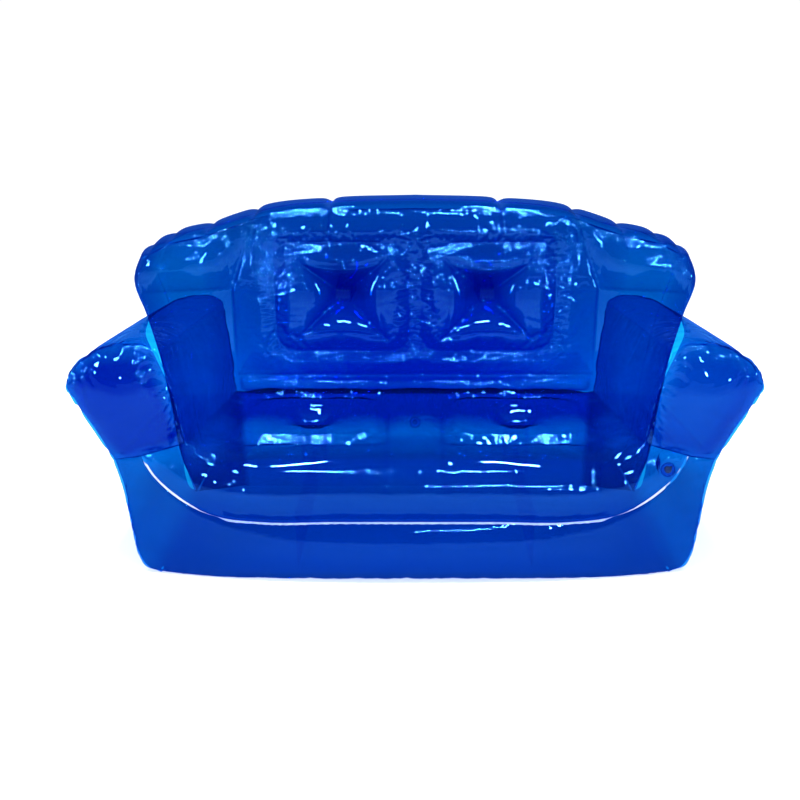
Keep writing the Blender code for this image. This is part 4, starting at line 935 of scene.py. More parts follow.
# %% A wire and a finish
class Wire:
    """One output of a shader node."""

    def __init__(self, finish, socket):
        self.finish, self.socket = finish, socket

    def maths(self, operation, *values):
        return self.finish.node("ShaderNodeMath", {"operation": operation}, dict(enumerate(values)))

    def __add__(self, other):
        return self.maths("ADD", self, other)

    def __radd__(self, other):
        return self.maths("ADD", other, self)

    def __sub__(self, other):
        return self.maths("SUBTRACT", self, other)

    def __rsub__(self, other):
        return self.maths("SUBTRACT", other, self)

    def __mul__(self, other):
        return self.maths("MULTIPLY", self, other)

    def __rmul__(self, other):
        return self.maths("MULTIPLY", other, self)

    def __truediv__(self, other):
        return self.maths("DIVIDE", self, other)

    def __rtruediv__(self, other):
        return self.maths("DIVIDE", other, self)

    def __pow__(self, other):
        return self.maths("POWER", self, other)

    def __rpow__(self, other):
        return self.maths("POWER", other, self)

    def kept_in(self, low, high):
        return self.maths("MAXIMUM", self.maths("MINIMUM", self, high), low)


class Finish:
    """A material and the nodes in it."""

    def __init__(self, name, tree=None):
        if tree is None:
            self.material = bpy.data.materials.new(name)
            self.material.use_nodes = True
            tree = self.material.node_tree
        self.tree = tree
        self.tree.nodes.clear()
        self.place = self.node("ShaderNodeTexCoord", output="Object")

    def node(self, kind, settings=None, values=None, output=0):
        new = self.tree.nodes.new(kind)
        for key, value in (settings or {}).items():
            setattr(new, key, value)
        for key, value in (values or {}).items():
            if isinstance(value, Wire):
                self.tree.links.new(value.socket, new.inputs[key])
            else:
                new.inputs[key].default_value = value
        return Wire(self, new.outputs[output]) if new.outputs else new

    def noise(self, scale, detail, roughness=0.5, vector=None):
        values = {"Vector": vector or self.place, "Scale": scale, "Detail": detail, "Roughness": roughness}
        return self.node("ShaderNodeTexNoise", None, values, "Fac")

    def bump(self, height, strength, distance):
        values = {"Height": height, "Strength": strength, "Distance": distance}
        return self.node("ShaderNodeBump", None, values)

    def stored(self, name):
        """A number that the mesh keeps for each of its points."""
        return self.node("ShaderNodeAttribute", {"attribute_name": name}, output="Fac")

    def mixed_colour(self, share, first, second):
        values = {"Factor": share, "A": (*first, 1.0), "B": (*second, 1.0)}
        return self.node("ShaderNodeMix", {"data_type": "RGBA"}, values, output=2)

    def mixed(self, share, first, second):
        return self.node("ShaderNodeMixShader", None, {0: share, 1: first, 2: second})

    def shader(self, kind, colour, **values):
        return self.node(kind, None, {"Color": (*colour, 1.0), **values})

    def shown(self, shader):
        self.node("ShaderNodeOutputMaterial", None, {"Surface": shader})
        self.material.use_backface_culling = False
        return self.material


# %% [markdown]
# ## Clear tinted film
# Light that goes straight through the film takes on its blue, and each further layer deepens it, so the
# couch is pale where two layers lie behind each other and dark where there are many. A little of the
# light is scattered by haze and dust. The smooth skin mirrors lamps and windows, weakly where it faces
# the eye and strongly at a glance. Webs inside the couch are cut from a paler film, and so is the part of
# the back that lies behind the seat. Shade is painted on as well: the film turns a deeper blue towards
# the back of the seat, on the arms, over the middle of the back and at its ties, and the skirt, seat and
# arms get darker and lighter copies of the film, as painted shade and painted light. The pale front fin
# glows, a painted highlight.

# %% Finish of the film
GLOSS_TINT, GLANCE_TINT = (0.045, 0.24, 0.85), (0.08, 0.32, 0.95)
INNER_TINT = (0.80, 0.94, 0.99)
CLEAR_TINT, DEEP_TINT, HAZE = (0.002, 0.28, 0.61), (0.001, 0.024, 0.37), (0.0, 0.013, 0.145)
DUST_SCALE, DUST_ROUGHNESS = 60.0, 0.8
GATHERS_ALONG, GATHERS_ACROSS = 150.0, 16.0
FADE_BASE, FADE_RATE = 2.718, -60.0
WAVES_SCALE, WAVES_SHARE = 9.0, 0.6
BUMP_STRENGTH, BUMP_DISTANCE = 0.30, 0.004
MATT_START, MATT_RISE, MATT_SHARE = 0.97, 33.0, 0.6


def film_bump(finish, gathers):
    """Fine gathers that run in from the nearest weld, over soft waves all over the film."""
    weld, along = finish.stored("weld_distance"), finish.stored("weld_along")
    stretched = {"X": along * GATHERS_ALONG, "Y": weld * GATHERS_ACROSS}
    place = finish.node("ShaderNodeCombineXYZ", None, stretched)
    fine = finish.noise(1.0, 1.0, 0.4, place) * FADE_BASE ** (weld * FADE_RATE)
    waves = finish.noise(WAVES_SCALE, 1.0, 0.45)
    return finish.bump(fine * gathers + waves * WAVES_SHARE, BUMP_STRENGTH, BUMP_DISTANCE)


def film_finish(
    name, tint, deep_tint, haze_colour, haze, roughness=0.03, mirror_share=0.050, glance=0.40,
    slant_share=0.85, glow=0.0, gathers=1.0,
):
    """tint is what one layer lets through, deep_tint the same where shade is painted or seen at a slant."""
    finish = Finish(name)
    dust = finish.noise(DUST_SCALE, 3.0, DUST_ROUGHNESS)
    haze_share = (haze * (0.4 + 1.2 * dust)).kept_in(0.0, 1.0)
    painted_shade = finish.stored("painted_shade")
    normal = film_bump(finish, gathers)
    facing = finish.node("ShaderNodeLayerWeight", None, {"Blend": 0.5}, "Facing")
    # Painted shade: where the painted shade is full, at the ties of the back, the mirror is cut down too, so
    # they look darker still.
    matt = ((painted_shade - MATT_START) * MATT_RISE).kept_in(0.0, 1.0)
    mirror = (mirror_share + (glance - mirror_share) * facing**5.0) * (1.0 - MATT_SHARE * matt)
    clear, deep, pale = (
        finish.shader("ShaderNodeBsdfTransparent", colour) for colour in (tint, deep_tint, INNER_TINT)
    )
    # The deep tint comes in where shade is painted on and where the film is seen at a slant.
    slant = (painted_shade + slant_share * facing**1.15).kept_in(0.0, 1.0)
    through = finish.mixed(finish.stored("inner_part"), finish.mixed(slant, clear, deep), pale)
    body = finish.shader("ShaderNodeBsdfDiffuse", haze_colour, Normal=normal)
    gloss, glancing_gloss = (
        finish.shader("ShaderNodeBsdfAnisotropic", colour, Roughness=roughness, Normal=normal)
        for colour in (GLOSS_TINT, GLANCE_TINT)
    )
    # A glow in a film that is no lamp: painted light, which the front fin uses as a painted highlight.
    if glow:
        light = finish.shader("ShaderNodeEmission", haze_colour, Strength=glow)
        body = finish.node("ShaderNodeAddShader", None, {0: body, 1: light})
    film = finish.mixed(haze_share, through, body)
    return finish.shown(finish.mixed(mirror, film, finish.mixed(facing**3.0, gloss, glancing_gloss)))


# %% The film's kinds
OUTER_FILM = film_finish("outer_film", CLEAR_TINT, DEEP_TINT, HAZE, 0.07)
# A darker copy of the outer film for the skirt: painted shade.
SKIRT_FILM = film_finish(
    "skirt_film", (0.002, 0.27, 0.57), DEEP_TINT, HAZE, 0.07,
    mirror_share=0.03, slant_share=0.5, gathers=0.2,
)
# A lighter copy for the seat: painted light.
SEAT_FILM = film_finish("seat_film", (0.005, 0.45, 0.76), DEEP_TINT, HAZE, 0.07, slant_share=0.65)
# A lighter copy for the arms' inner sides: painted light.
ARM_SIDE_FILM = film_finish(
    "arm_side_film", (0.01, 0.42, 0.75), DEEP_TINT, HAZE, 0.03, glance=0.30, slant_share=0.5,
)
# A lighter copy for the arms' outer sheets and the floor panel: painted light.
ARM_FILM = film_finish("arm_film", (0.003, 0.33, 0.69), DEEP_TINT, HAZE, 0.07, glance=0.45, slant_share=0.20)
INNER_FILM = film_finish(
    "inner_film", INNER_TINT, (0.4, 0.75, 0.97), HAZE, 0.01, mirror_share=0.006, glance=0.03,
)
WELD_FILM = film_finish(
    "weld_film", (0.02, 0.32, 0.85), (0.02, 0.32, 0.85), (0.004, 0.07, 0.35), 0.30,
    roughness=0.12, glance=0.25,
)
# The front fin's film is pale and glows though it is no lamp: a painted highlight for its bright line.
GLOWING_WELD_FILM = film_finish(
    "glowing_weld_film", (0.2, 0.5, 0.95), (0.2, 0.5, 0.95), (0.24, 0.275, 0.41), 0.80,
    roughness=0.12, mirror_share=0.02, glance=0.05, glow=1.0,
)
FLANGE_FILM = film_finish(
    "flange_film", (0.10, 0.50, 0.90), (0.0, 0.2, 0.7), (0.0, 0.013, 0.13), 0.12, roughness=0.10,
)
CLEAR_PLUG = film_finish(
    "clear_plug", (0.50, 0.78, 0.97), (0.3, 0.6, 0.95), (0.0, 0.04, 0.25), 0.12, roughness=0.10,
)


# %% Finish of the dark valve
def valve_finish(name, colour, roughness):
    finish = Finish(name)
    dust = finish.noise(900.0, 3.0)
    values = {
        "Base Color": finish.mixed_colour(dust * 0.5, colour, [0.6 * part for part in colour]),
        "Roughness": (roughness + 0.2 * (dust - 0.5)).kept_in(0.05, 1.0),
        "IOR": 1.25,
        "Specular Tint": (0.3, 0.5, 1.0, 1.0),
        "Normal": finish.bump(dust, 0.15, 0.0004),
    }
    return finish.shown(finish.node("ShaderNodeBsdfPrincipled", None, values))


VALVE_PLASTIC = valve_finish("valve_plastic", (0.0015, 0.006, 0.032), 0.20)
print("finishes:", [material.name for material in bpy.data.materials])

# %% [markdown]
# ## Sheets as meshes
# One function turns a grid of points into a smooth mesh. It also writes, for every point, how far it is
# from the nearest weld and where along that weld, which the film's finish needs for its finest creases.


# %% A piece from a grid
def finished(name, mesh, material, nodes=(), body="shell"):
    piece = bpy.data.objects.new(name, mesh)
    bpy.context.scene.collection.objects.link(piece)
    mesh.materials.append(material)
    mesh.shade_smooth()
    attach(piece, body)
    if nodes:
        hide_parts(*nodes)
    return piece


def keep_for_points(mesh, name, values):
    numbers = values.ravel().astype(np.float32)
    mesh.attributes.new(name, "FLOAT", "POINT").data.foreach_set("value", numbers)


def open_round(mesh, centre, axis, radius):
    """Takes out the mesh inside a circle and draws the edge that is left onto it."""
    shape = bmesh.new()
    shape.from_mesh(mesh)
    reach = 3 * radius

    def offset(vertex):
        gap = vertex.co - centre
        height = gap.dot(axis)
        return gap - axis * height, height

    inside = [v for v in shape.verts if (v.co - centre).length < reach and offset(v)[0].length < radius]
    bmesh.ops.delete(shape, geom=inside, context="VERTS")
    for vertex in shape.verts:
        flat, height = offset(vertex)
        if vertex.is_boundary and flat.length < 2 * radius and abs(height) < radius:
            vertex.co = centre + axis * height + flat.normalized() * radius
    shape.to_mesh(mesh)
    shape.free()


def sheet_piece(name, grid, material, node=None, hole=None, deep=None, inside=None):
    """deep is 1 where deep blue is painted on as shade, inside is 1 where a sheet counts as an inner web."""
    mesh = sheet_mesh(name, grid)
    far = distances(grid)
    stack = np.array([far[side] for side in far])
    lengths = np.array([np.broadcast_to(edge_lengths(grid, side), far[side].shape) for side in far])
    nearest = stack.argmin(axis=0)[None]
    for key, values in (("weld_distance", stack), ("weld_along", lengths)):
        keep_for_points(mesh, key, np.take_along_axis(values, nearest, axis=0)[0])
    for key, values in (("painted_shade", deep), ("inner_part", inside)):
        if values is not None:
            keep_for_points(mesh, key, values)
    if hole:
        open_round(mesh, *hole)
    return finished(name, mesh, material, [node] if node else [])


def mirror_grid(grid):
    return mirrored(grid)[::-1]


# %% [markdown]
# ## Valves: their places
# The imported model's joints say where each valve sits and which way it faces: the stem slides along the
# valve's axis, and the cap's hinge gives the other direction.

# %% Frames of the three valves
CAP_HINGE_OFFSET, LID_BOTTOM = 0.0120, 0.0018
FLANGE_RADIUS, HOLE_SHARE, FLAT_REACH = 0.018, 0.8, 0.045
JOINTS = {joint["name"]: joint for joint in frame["joints"]}


def valve_frame(name):
    hinge = JOINTS[name + "_cap_hinge"]
    z = Vector(JOINTS[name + "_push"]["axis"]).normalized()
    y = Vector(hinge["axis"]).normalized()
    x = y.cross(z)
    turn = Matrix((x, y, z)).transposed().to_4x4()
    turn.translation = Vector(hinge["pos_m"]) - x * CAP_HINGE_OFFSET - z * LID_BOTTOM
    return turn


VALVES = {name: valve_frame(name) for name in ("seat_valve", "back_valve", "base_valve")}


def pressed_flat(grid, name):
    """Draws a sheet onto the plane of a valve's flange, fading out round it."""
    turn = VALVES[name]
    centre, axis = np.array(turn.translation), np.array(turn.col[2][:3])
    gap = grid - centre
    height = gap @ axis
    radius = np.linalg.norm(gap - height[:, :, None] * axis, axis=2)
    share = clipped((FLAT_REACH - radius) / (FLAT_REACH - FLANGE_RADIUS)) * (np.abs(height) < FLAT_REACH)
    share = share * share * (3 - 2 * share)
    return grid - (height * share)[:, :, None] * axis


def hole_for(name):
    turn = VALVES[name]
    return turn.translation.copy(), turn.col[2].to_3d(), HOLE_SHARE * FLANGE_RADIUS


for name, turn in VALVES.items():
    print(name, "at", [round(value, 3) for value in turn.translation])

# %% [markdown]
# ## Outer sheets
# Now every sheet gets its creases and becomes a piece. Each one stands for the solid of the same name.
# The creases of a weld have a depth, a spacing and a reach.

# %% Seat, skirt and floor panel
SIDE = (0.0022, 0.016, 0.022)
SOFT = (0.0013, 0.018, 0.020)
RIM_FRONT = (0.0017, 0.014, 0.016)
ARM_RIM = (0.0030, 0.020, 0.030)
FAINT = (0.0006, 0.020, 0.018)
SEAT_RING_CREASE, BACK_RING_CREASE = 0.0018, 0.0054

seat = doubled(SEAT)
x, y = np.meshgrid(midpoints_too(SEAT_COLUMNS), midpoints_too(SEAT_CENTRE[:, 0]), indexing="ij")
on_top = np.arange(seat.shape[1]) > 2 * FRONT_ROWS + 2
for seed, place in zip((10, 12), from_tufts(x, y, SEAT_TUFT_HALF, SEAT_TUFT_DEPTH)):
    crossed = ring_creases(seat, *place, SEAT_RING, seed, SEAT_RING_CREASE)
    seat = np.where(on_top[None, :, None], crossed, seat)
seat = creased(seat, {"left": SIDE, "right": SIDE, "bottom": FAINT, "top": SOFT}, 31)
# Painted shade: the cushion's film is given a deeper blue towards the back, standing in for the shade there.
behind_front = clipped((seat[:, :, 1] + DEPTH / 2 - 0.24) / 0.16)
deep = 0.9 * behind_front * clipped((0.56 - np.abs(seat[:, :, 0])) / 0.08)
seat = pressed_flat(seat, "seat_valve")
sheet_piece("seat_cover_film", seat, SEAT_FILM, "seat_cover", hole=hole_for("seat_valve"), deep=deep)

skirt = creased(doubled(SKIRT), {"left": SIDE, "right": SIDE, "bottom": SOFT}, 37)
sheet_piece("skirt_front_film", skirt, SKIRT_FILM, "skirt_front")
sheet_piece("floor_panel_film", FLOOR, ARM_FILM, "floor_panel")

# %% Arms, the left one as the mirror image of the right
# Painted shade on the arms' front faces; the left face gets more of it, standing in for a shadow that falls
# on it.
ARM_FACE_SHADE = {"right": 0.60, "left": 0.95}


def near_middle(grid, edge=0.05):
    """0 along the welds of a sheet and 1 further in than edge."""
    far = distances(grid)
    return clipped(np.min([far[side] for side in far], axis=0) / edge)


arm_outer = creased(doubled(ARM_OUTER), {"left": FAINT, "right": SOFT, "bottom": SOFT, "top": SIDE}, 43)
arm_inner = creased(doubled(ARM_INNER), {"left": SOFT, "right": SOFT, "bottom": SOFT, "top": SOFT}, 47)
drum_welds = {"left": SIDE, "right": ARM_RIM, "bottom": SIDE, "top": ARM_RIM}
arm_front = creased(doubled(ARM_FRONT), drum_welds, 53, layers=2)
for side, face_shade in ARM_FACE_SHADE.items():
    outer, inner, face, hole = arm_outer, arm_inner, arm_front, None
    if side == "left":
        outer, inner, face = (mirror_grid(grid) for grid in (outer, inner, face))
    else:
        outer, hole = pressed_flat(outer, "base_valve"), hole_for("base_valve")
    # Painted shade on each arm's outer sheet, between 0.30 and 0.60 m high and away from its welds.
    deep = 0.25 * near_middle(outer) * hump(outer[:, :, 2], 0.30, 0.60, 0.4)
    sheet_piece(side + "_arm_outer_film", outer, ARM_FILM, side + "_arm_outer", hole=hole, deep=deep)
    sheet_piece(side + "_arm_inner_film", inner, ARM_SIDE_FILM, side + "_arm_inner")
    # Painted shade on the arm's face.
    deep = face_shade * near_middle(arm_front)
    sheet_piece(side + "_arm_front_film", face, OUTER_FILM, side + "_arm_front", deep=deep)

# %% Back
PINCH_DEPTHS, PINCH_REACHES = (0.012, 0.014, 0.010, 0.009, 0.007), (0.13, 0.15, 0.08, 0.07, 0.05)
PINCH_SLANT, PINCH_CREASE_WIDTH = 0.10, 0.005


def near_back_ties(x, z):
    """1 at the ties of the back, falling to 0 a few centimetres away."""
    away = np.maximum(np.abs(np.abs(x) - BACK_TUFT_HALF), np.abs(z - BACK_TUFT_HEIGHT))
    return clipped((0.070 - away) / 0.040)


pinches = []
for half, depth, reach in zip(PINCH_HALVES, PINCH_DEPTHS, PINCH_REACHES):
    for x in (-half, half):
        slant = math.copysign(PINCH_SLANT, x)
        pinches.append((place_of(BACK_FRONT[:, -1], x), depth, reach, slant, PINCH_CREASE_WIDTH))
back_front = doubled(BACK_FRONT)
x, z = np.meshgrid(midpoints_too(BACK_COLUMNS), midpoints_too(BACK_ROWS), indexing="ij")
for seed, place in zip((22, 24), from_tufts(x, z, BACK_TUFT_HALF, BACK_TUFT_HEIGHT)):
    back_front = ring_creases(back_front, *place, BACK_RING, seed, BACK_RING_CREASE)
back_front = long_creases(back_front, "top", pinches)
back_front = creased(back_front, {"left": SIDE, "right": SIDE, "top": RIM_FRONT}, 59, layers=2)
# Painted shade: a deeper blue over the middle of the back and at the ties of its tufts, left off the part
# behind the seat.
deep = 0.9 * hump(back_front[:, :, 0], -0.60, 0.60, 0.5) * hump(back_front[:, :, 2], 0.10, 0.86, 0.35)
inside = clipped((ROLL_BOTTOM - z) / 0.02) * clipped((FOLD_HALF - np.abs(x)) / 0.02)
deep = np.maximum(deep, near_back_ties(x, z)) * (1 - inside)
sheet_piece("back_front_film", back_front, OUTER_FILM, "back_front", deep=deep, inside=inside)

back_rear = creased(doubled(BACK_REAR), {"left": SIDE, "right": SIDE, "bottom": SOFT, "top": SIDE}, 61)
back_rear = pressed_flat(back_rear, "back_valve")
# Painted shade round the ties on the rear sheet as well.
deep = 0.7 * near_back_ties(back_rear[:, :, 0], back_rear[:, :, 2])[::-1]
hole = hole_for("back_valve")
sheet_piece("back_rear_film", back_rear[::-1], OUTER_FILM, "back_rear", hole=hole, deep=deep)
rim = creased(doubled(RIM), {"bottom": RIM_FRONT, "top": RIM_FRONT}, 67, layers=1)
sheet_piece("back_rim_film", rim, OUTER_FILM, "back_rim_band")
faces = sum(len(piece.data.polygons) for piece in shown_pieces())
print("outer sheets:", faces, "faces,", round(time.time() - started, 1), "s")

# %% [markdown]
# ## Inner sheets
# Webs and sleeves inside hold the couch in shape. They are only seen through the film, as darker boxes,
# so they need their right places more than fine detail.

# %% Webs and ribs
RIB_HALF, RIB_DEPTHS, RIB_GAP = 0.30, np.linspace(0.10, 0.58, 30), 0.001


def inner_piece(name, grid, node):
    sheet_piece(name, grid, INNER_FILM, node)


def rib_grid(x):
    top = float(np.interp(x, FIN[:, 0], FIN[:, 2])) - RIB_GAP
    return np.array([[at(x, depth, z) for z in np.linspace(RIB_GAP, top, 12)] for depth in RIB_DEPTHS])


def nearest_stop(stops, value):
    return int(np.argmin(np.abs(np.array(stops) - value)))


inner_piece("seat_deck_film", DECK, "seat_deck_web")
for side, x in (("left", -RIB_HALF), ("middle", 0.0), ("right", RIB_HALF)):
    inner_piece(f"base_rib_{side}_film", rib_grid(x), "base_rib_" + side)
inner_piece("right_arm_waist_film", WAIST_WEB, "right_arm_waist_web")
inner_piece("left_arm_waist_film", mirror_grid(WAIST_WEB), "left_arm_waist_web")
crease_row = nearest_stop(BACK_ROWS, ROLL_TOP)
between_folds = slice(nearest_stop(BACK_COLUMNS, -FOLD_HALF), nearest_stop(BACK_COLUMNS, FOLD_HALF) + 1)
crease_ends = (BACK_FRONT[between_folds, crease_row], BACK_REAR[between_folds, crease_row])
inner_piece("back_crease_film", straight_between(*crease_ends, np.linspace(0, 1, 16)), "back_crease_web")


# %% Ring walls and ties of the tufts
def loop_round(grid, x_stops, y_stops, middle, half):
    """The points of a sheet round a rectangle that lies on its rows and columns, back to the first one."""
    low_x, high_x = (nearest_stop(x_stops, middle[0] + side * half[0]) for side in (-1, 1))
    low_y, high_y = (nearest_stop(y_stops, middle[1] + side * half[1]) for side in (-1, 1))
    bottom = [(column, low_y) for column in range(low_x, high_x)]
    right = [(high_x, row) for row in range(low_y, high_y)]
    top = [(column, high_y) for column in range(high_x, low_x, -1)]
    left = [(low_x, row) for row in range(high_y, low_y, -1)]
    return np.array([grid[place] for place in bottom + right + top + left + bottom[:1]])


def under(grid, points):
    """The nearest points of a sheet straight below some others."""
    flat = grid.reshape(-1, 3)
    gaps = ((flat[None, :, :2] - points[:, None, :2]) ** 2).sum(axis=2)
    found = flat[gaps.argmin(axis=1)]
    return np.column_stack([points[:, :2], found[:, 2]])


def sleeve(node, near, far):
    inner_piece(node + "_film", straight_between(near, far, np.linspace(0.01, 0.99, 14)), node)


for side, sign in (("left", -1), ("right", 1)):
    for kind, seat_half, back_half in (
        ("ring", SEAT_RING, BACK_RING),
        ("tie", (SEAT_TIE_HALF, SEAT_TIE_HALF), (BACK_TIE_HALF, BACK_TIE_HALF)),
    ):
        middle = (sign * SEAT_TUFT_HALF, SEAT_TUFT_DEPTH)
        near = loop_round(SEAT, SEAT_COLUMNS, SEAT_CENTRE[:, 0], middle, seat_half)
        sleeve(f"seat_{kind}_{side}", near, under(DECK, near))
        middle = (sign * BACK_TUFT_HALF, BACK_TUFT_HEIGHT)
        near = loop_round(BACK_FRONT, BACK_COLUMNS, BACK_ROWS, middle, back_half)
        far = loop_round(BACK_REAR, BACK_COLUMNS, BACK_ROWS, middle, back_half)
        sleeve(f"back_{kind}_{side}", near, far)

# %% [markdown]
# ## Weld fins
# Outside each weld a narrow strip of doubled film is left over. It stands out along the line that halves
# the angle between the two sheets, it waves a little, and it catches the light as a bright line. The long
# front one stands in the groove between the seat's roll and the skirt, so it points forward. Its bright
# line is a painted highlight: its film is pale and glows.

# %% Strip along a weld
FIN_WIDTH, FIN_WAVE, FIN_WAVE_SPACING, FIN_WAVE_WIDTH = 0.0055, 0.0014, 0.022, 0.006


def unit(vectors):
    return vectors / np.maximum(np.linalg.norm(vectors, axis=-1, keepdims=True), 1e-12)


def valleys(along, places, width):
    """1 at each place, falling off sharply to both sides."""
    after = np.clip(np.searchsorted(places, along), 1, len(places) - 1)
    nearest = np.minimum(np.abs(along - places[after - 1]), np.abs(along - places[after]))
    return np.exp(-nearest / width)


def weld_fin(
    name, line, first_inner, second_inner, seed, width=FIN_WIDTH, material=WELD_FILM, in_groove=False,
):
    """first_inner and second_inner run beside the weld, inside the two sheets that meet there."""
    random = np.random.default_rng(seed)
    towards = unit(unit(first_inner - line) + unit(second_inner - line))
    away = towards if in_groove else -towards
    for _ in range(6):
        away[1:-1] = (away[:-2] + 2 * away[1:-1] + away[2:]) / 4
    away = unit(away)
    sideways = np.cross(unit(np.gradient(line, axis=0)), away)
    along = lengths_along(line)
    wave = valleys(along, crease_places(along[-1], FIN_WAVE_SPACING, random), FIN_WAVE_WIDTH) - 0.4
    rows = []
    for share in (0.0, 0.5, 1.0):
        rows.append(line + away * (width * share) + sideways * (FIN_WAVE * share * wave)[:, None])
    grid = np.stack(rows, axis=1)
    grid[:, :, 2] = np.maximum(grid[:, :, 2], 0.0)
    return sheet_piece(name, grid, material)


# %% All the fins
skirt_ends = (skirt.shape[0] - seat.shape[0]) // 2
skirt_below = skirt[skirt_ends:-skirt_ends, -3]
# The front fin gets the pale, glowing film: a painted highlight.
weld_fin(
    "front_fin", seat[:, 0], seat[:, 2], skirt_below, 71,
    width=0.009, material=GLOWING_WELD_FILM, in_groove=True,
)
waist_row, crest_row = 2 * SKIRT_ROWS, 2 * (SKIRT_ROWS + ARM_ROWS)
below = np.array([0.0, 0.0, 0.02])
for side in ("right", "left"):
    outer, face, inner, base = arm_outer, arm_front, arm_inner, skirt
    if side == "left":
        outer, face, inner, base = mirrored(outer), mirrored(face), mirrored(inner), mirror_grid(base)
    seam, beside = outer[:, -1], outer[:, -3]
    low, flare, crest = slice(waist_row + 1), slice(waist_row, crest_row + 1), slice(crest_row, None)
    weld_fin(side + "_skirt_fin", seam[low], beside[low], base[-3], 73)
    weld_fin(side + "_flare_fin", seam[flare], beside[flare], face[-3], 79)
    weld_fin(side + "_crest_fin", seam[crest], beside[crest], face[::-1, -3], 83)
    weld_fin(side + "_inner_fin", face[0], face[2], inner[-3], 89)
    weld_fin(side + "_top_fin", inner[::-1, -1], inner[::-1, -3], outer[-3, ::-1], 97)
    weld_fin(side + "_waist_fin", face[:, 0], face[:, 2], face[:, 2] - below, 101, width=0.004)
rim_sides = (("front", back_front, 0, 2, 103), ("rear", back_rear, -1, -3, 107))
for name, sheet, row, beside_row, seed in rim_sides:
    beside = joined(sheet[2], sheet[:, -3], sheet[-3, ::-1])
    weld_fin(f"back_rim_{name}_fin", rim[:, row], rim[:, beside_row], beside, seed)
print("fins done")

# %% [markdown]
# ## Valves
# Each valve is a flange welded to the film, a short stem that is pushed in through it, a cap on a strap
# and a thin flap that air presses shut. All of them are turned parts, so a profile is spun round the
# valve's axis.

# %% Turned parts
TURN_STEPS = 48
SHARP_ANGLE = math.radians(38)


def spun(profile):
    """A mesh from radius and height pairs, spun round local Z."""
    shape = bmesh.new()
    angles = [math.tau * step / TURN_STEPS for step in range(TURN_STEPS)]
    rings = []
    for radius, height in profile:
        places = [(radius * math.cos(angle), radius * math.sin(angle), height) for angle in angles]
        rings.append([shape.verts.new(place) for place in (places if radius else [(0, 0, height)])])
    for low, high in zip(rings[:-1], rings[1:]):
        for step in range(TURN_STEPS):
            after = (step + 1) % TURN_STEPS
            lower = [low[step % len(low)], low[after % len(low)]]
            upper = [high[after % len(high)], high[step % len(high)]]
            kept = list(dict.fromkeys(lower + upper))
            if len(kept) > 2:
                shape.faces.new(kept)
    return shape


def bar(shape, low, high, bevel=0.0002):
    """A small bar with rounded edges, added to a turned part."""
    made = bmesh.ops.create_cube(shape, size=1.0)
    low, high = Vector(low), Vector(high)
    for vertex in made["verts"]:
        vertex.co = Vector(blend(low[axis], high[axis], vertex.co[axis] + 0.5) for axis in range(3))
    edges = list({edge for vertex in made["verts"] for edge in vertex.link_edges})
    bmesh.ops.bevel(shape, geom=edges, offset=bevel, segments=2, affect="EDGES")


def valve_piece(name, shape, turn, node, body, material):
    mesh = bpy.data.meshes.new(name)
    bmesh.ops.recalc_face_normals(shape, faces=shape.faces)
    shape.to_mesh(mesh)
    shape.free()
    mesh.transform(turn)
    piece = finished(name, mesh, material, [node], body)
    mesh.set_sharp_from_angle(angle=SHARP_ANGLE)
    return piece


# %% Flange, stem, cap and flap, in the valve's own frame
def flange_shape():
    tube = [(0.0068, -0.0060), (0.0078, -0.0060), (0.0078, -0.0010), (0.0084, -0.0004)]
    brim = [(0.0178, -0.0004), (0.0180, -0.0002), (0.0180, 0.0002), (0.0178, 0.0004)]
    ridge = [(0.0165, 0.0004), (0.0162, 0.0008), (0.0156, 0.0008), (0.0153, 0.0004)]
    inner_ridge = [(0.0118, 0.0004), (0.0115, 0.0007), (0.0110, 0.0007), (0.0107, 0.0004)]
    return spun(tube + brim + ridge + inner_ridge + [(0.0068, 0.0004), (0.0068, -0.0060)])


def stem_shape():
    collar = [(0.0065, 0.0007), (0.0083, 0.0007), (0.0085, 0.0009), (0.0085, 0.0013), (0.0083, 0.0015)]
    ribs = [(0.0065, -0.0125)]
    for step in range(4):
        low = -0.0118 + 0.0028 * step
        ribs += [(0.0065, low), (0.0066, low + 0.0003), (0.0066, low + 0.0007), (0.0065, low + 0.0010)]
    bore = [(0.0047, 0.0015), (0.0045, 0.0013), (0.0045, -0.0125)]
    shape = spun(bore[-1:] + ribs + collar + bore)
    bar(shape, (0.0076, -0.0020, 0.0008), (0.0112, 0.0020, 0.0014))
    return shape


def cap_shape():
    bung = [(0.0, -0.0050), (0.0030, -0.0050), (0.0032, -0.0048)]
    bung += [(0.0040, -0.0008), (0.0041, -0.0004), (0.0041, 0.0)]
    lid = [(0.0073, 0.0), (0.0076, 0.0003), (0.0076, 0.0009), (0.0073, 0.0012)]
    dish = [(0.0060, 0.0012), (0.0057, 0.0010), (0.0020, 0.0010), (0.0, 0.0011)]
    shape = spun(bung + lid + dish)
    bar(shape, (0.0068, -0.0020, 0.0002), (0.0118, 0.0020, 0.0010))
    bar(shape, (-0.0088, -0.0016, 0.0002), (-0.0070, 0.0016, 0.0010))
    return shape


def flap_shape():
    return spun([(0.0, -0.0004), (0.0056, -0.0004), (0.0058, -0.0002), (0.0056, 0.0), (0.0, 0.0)])


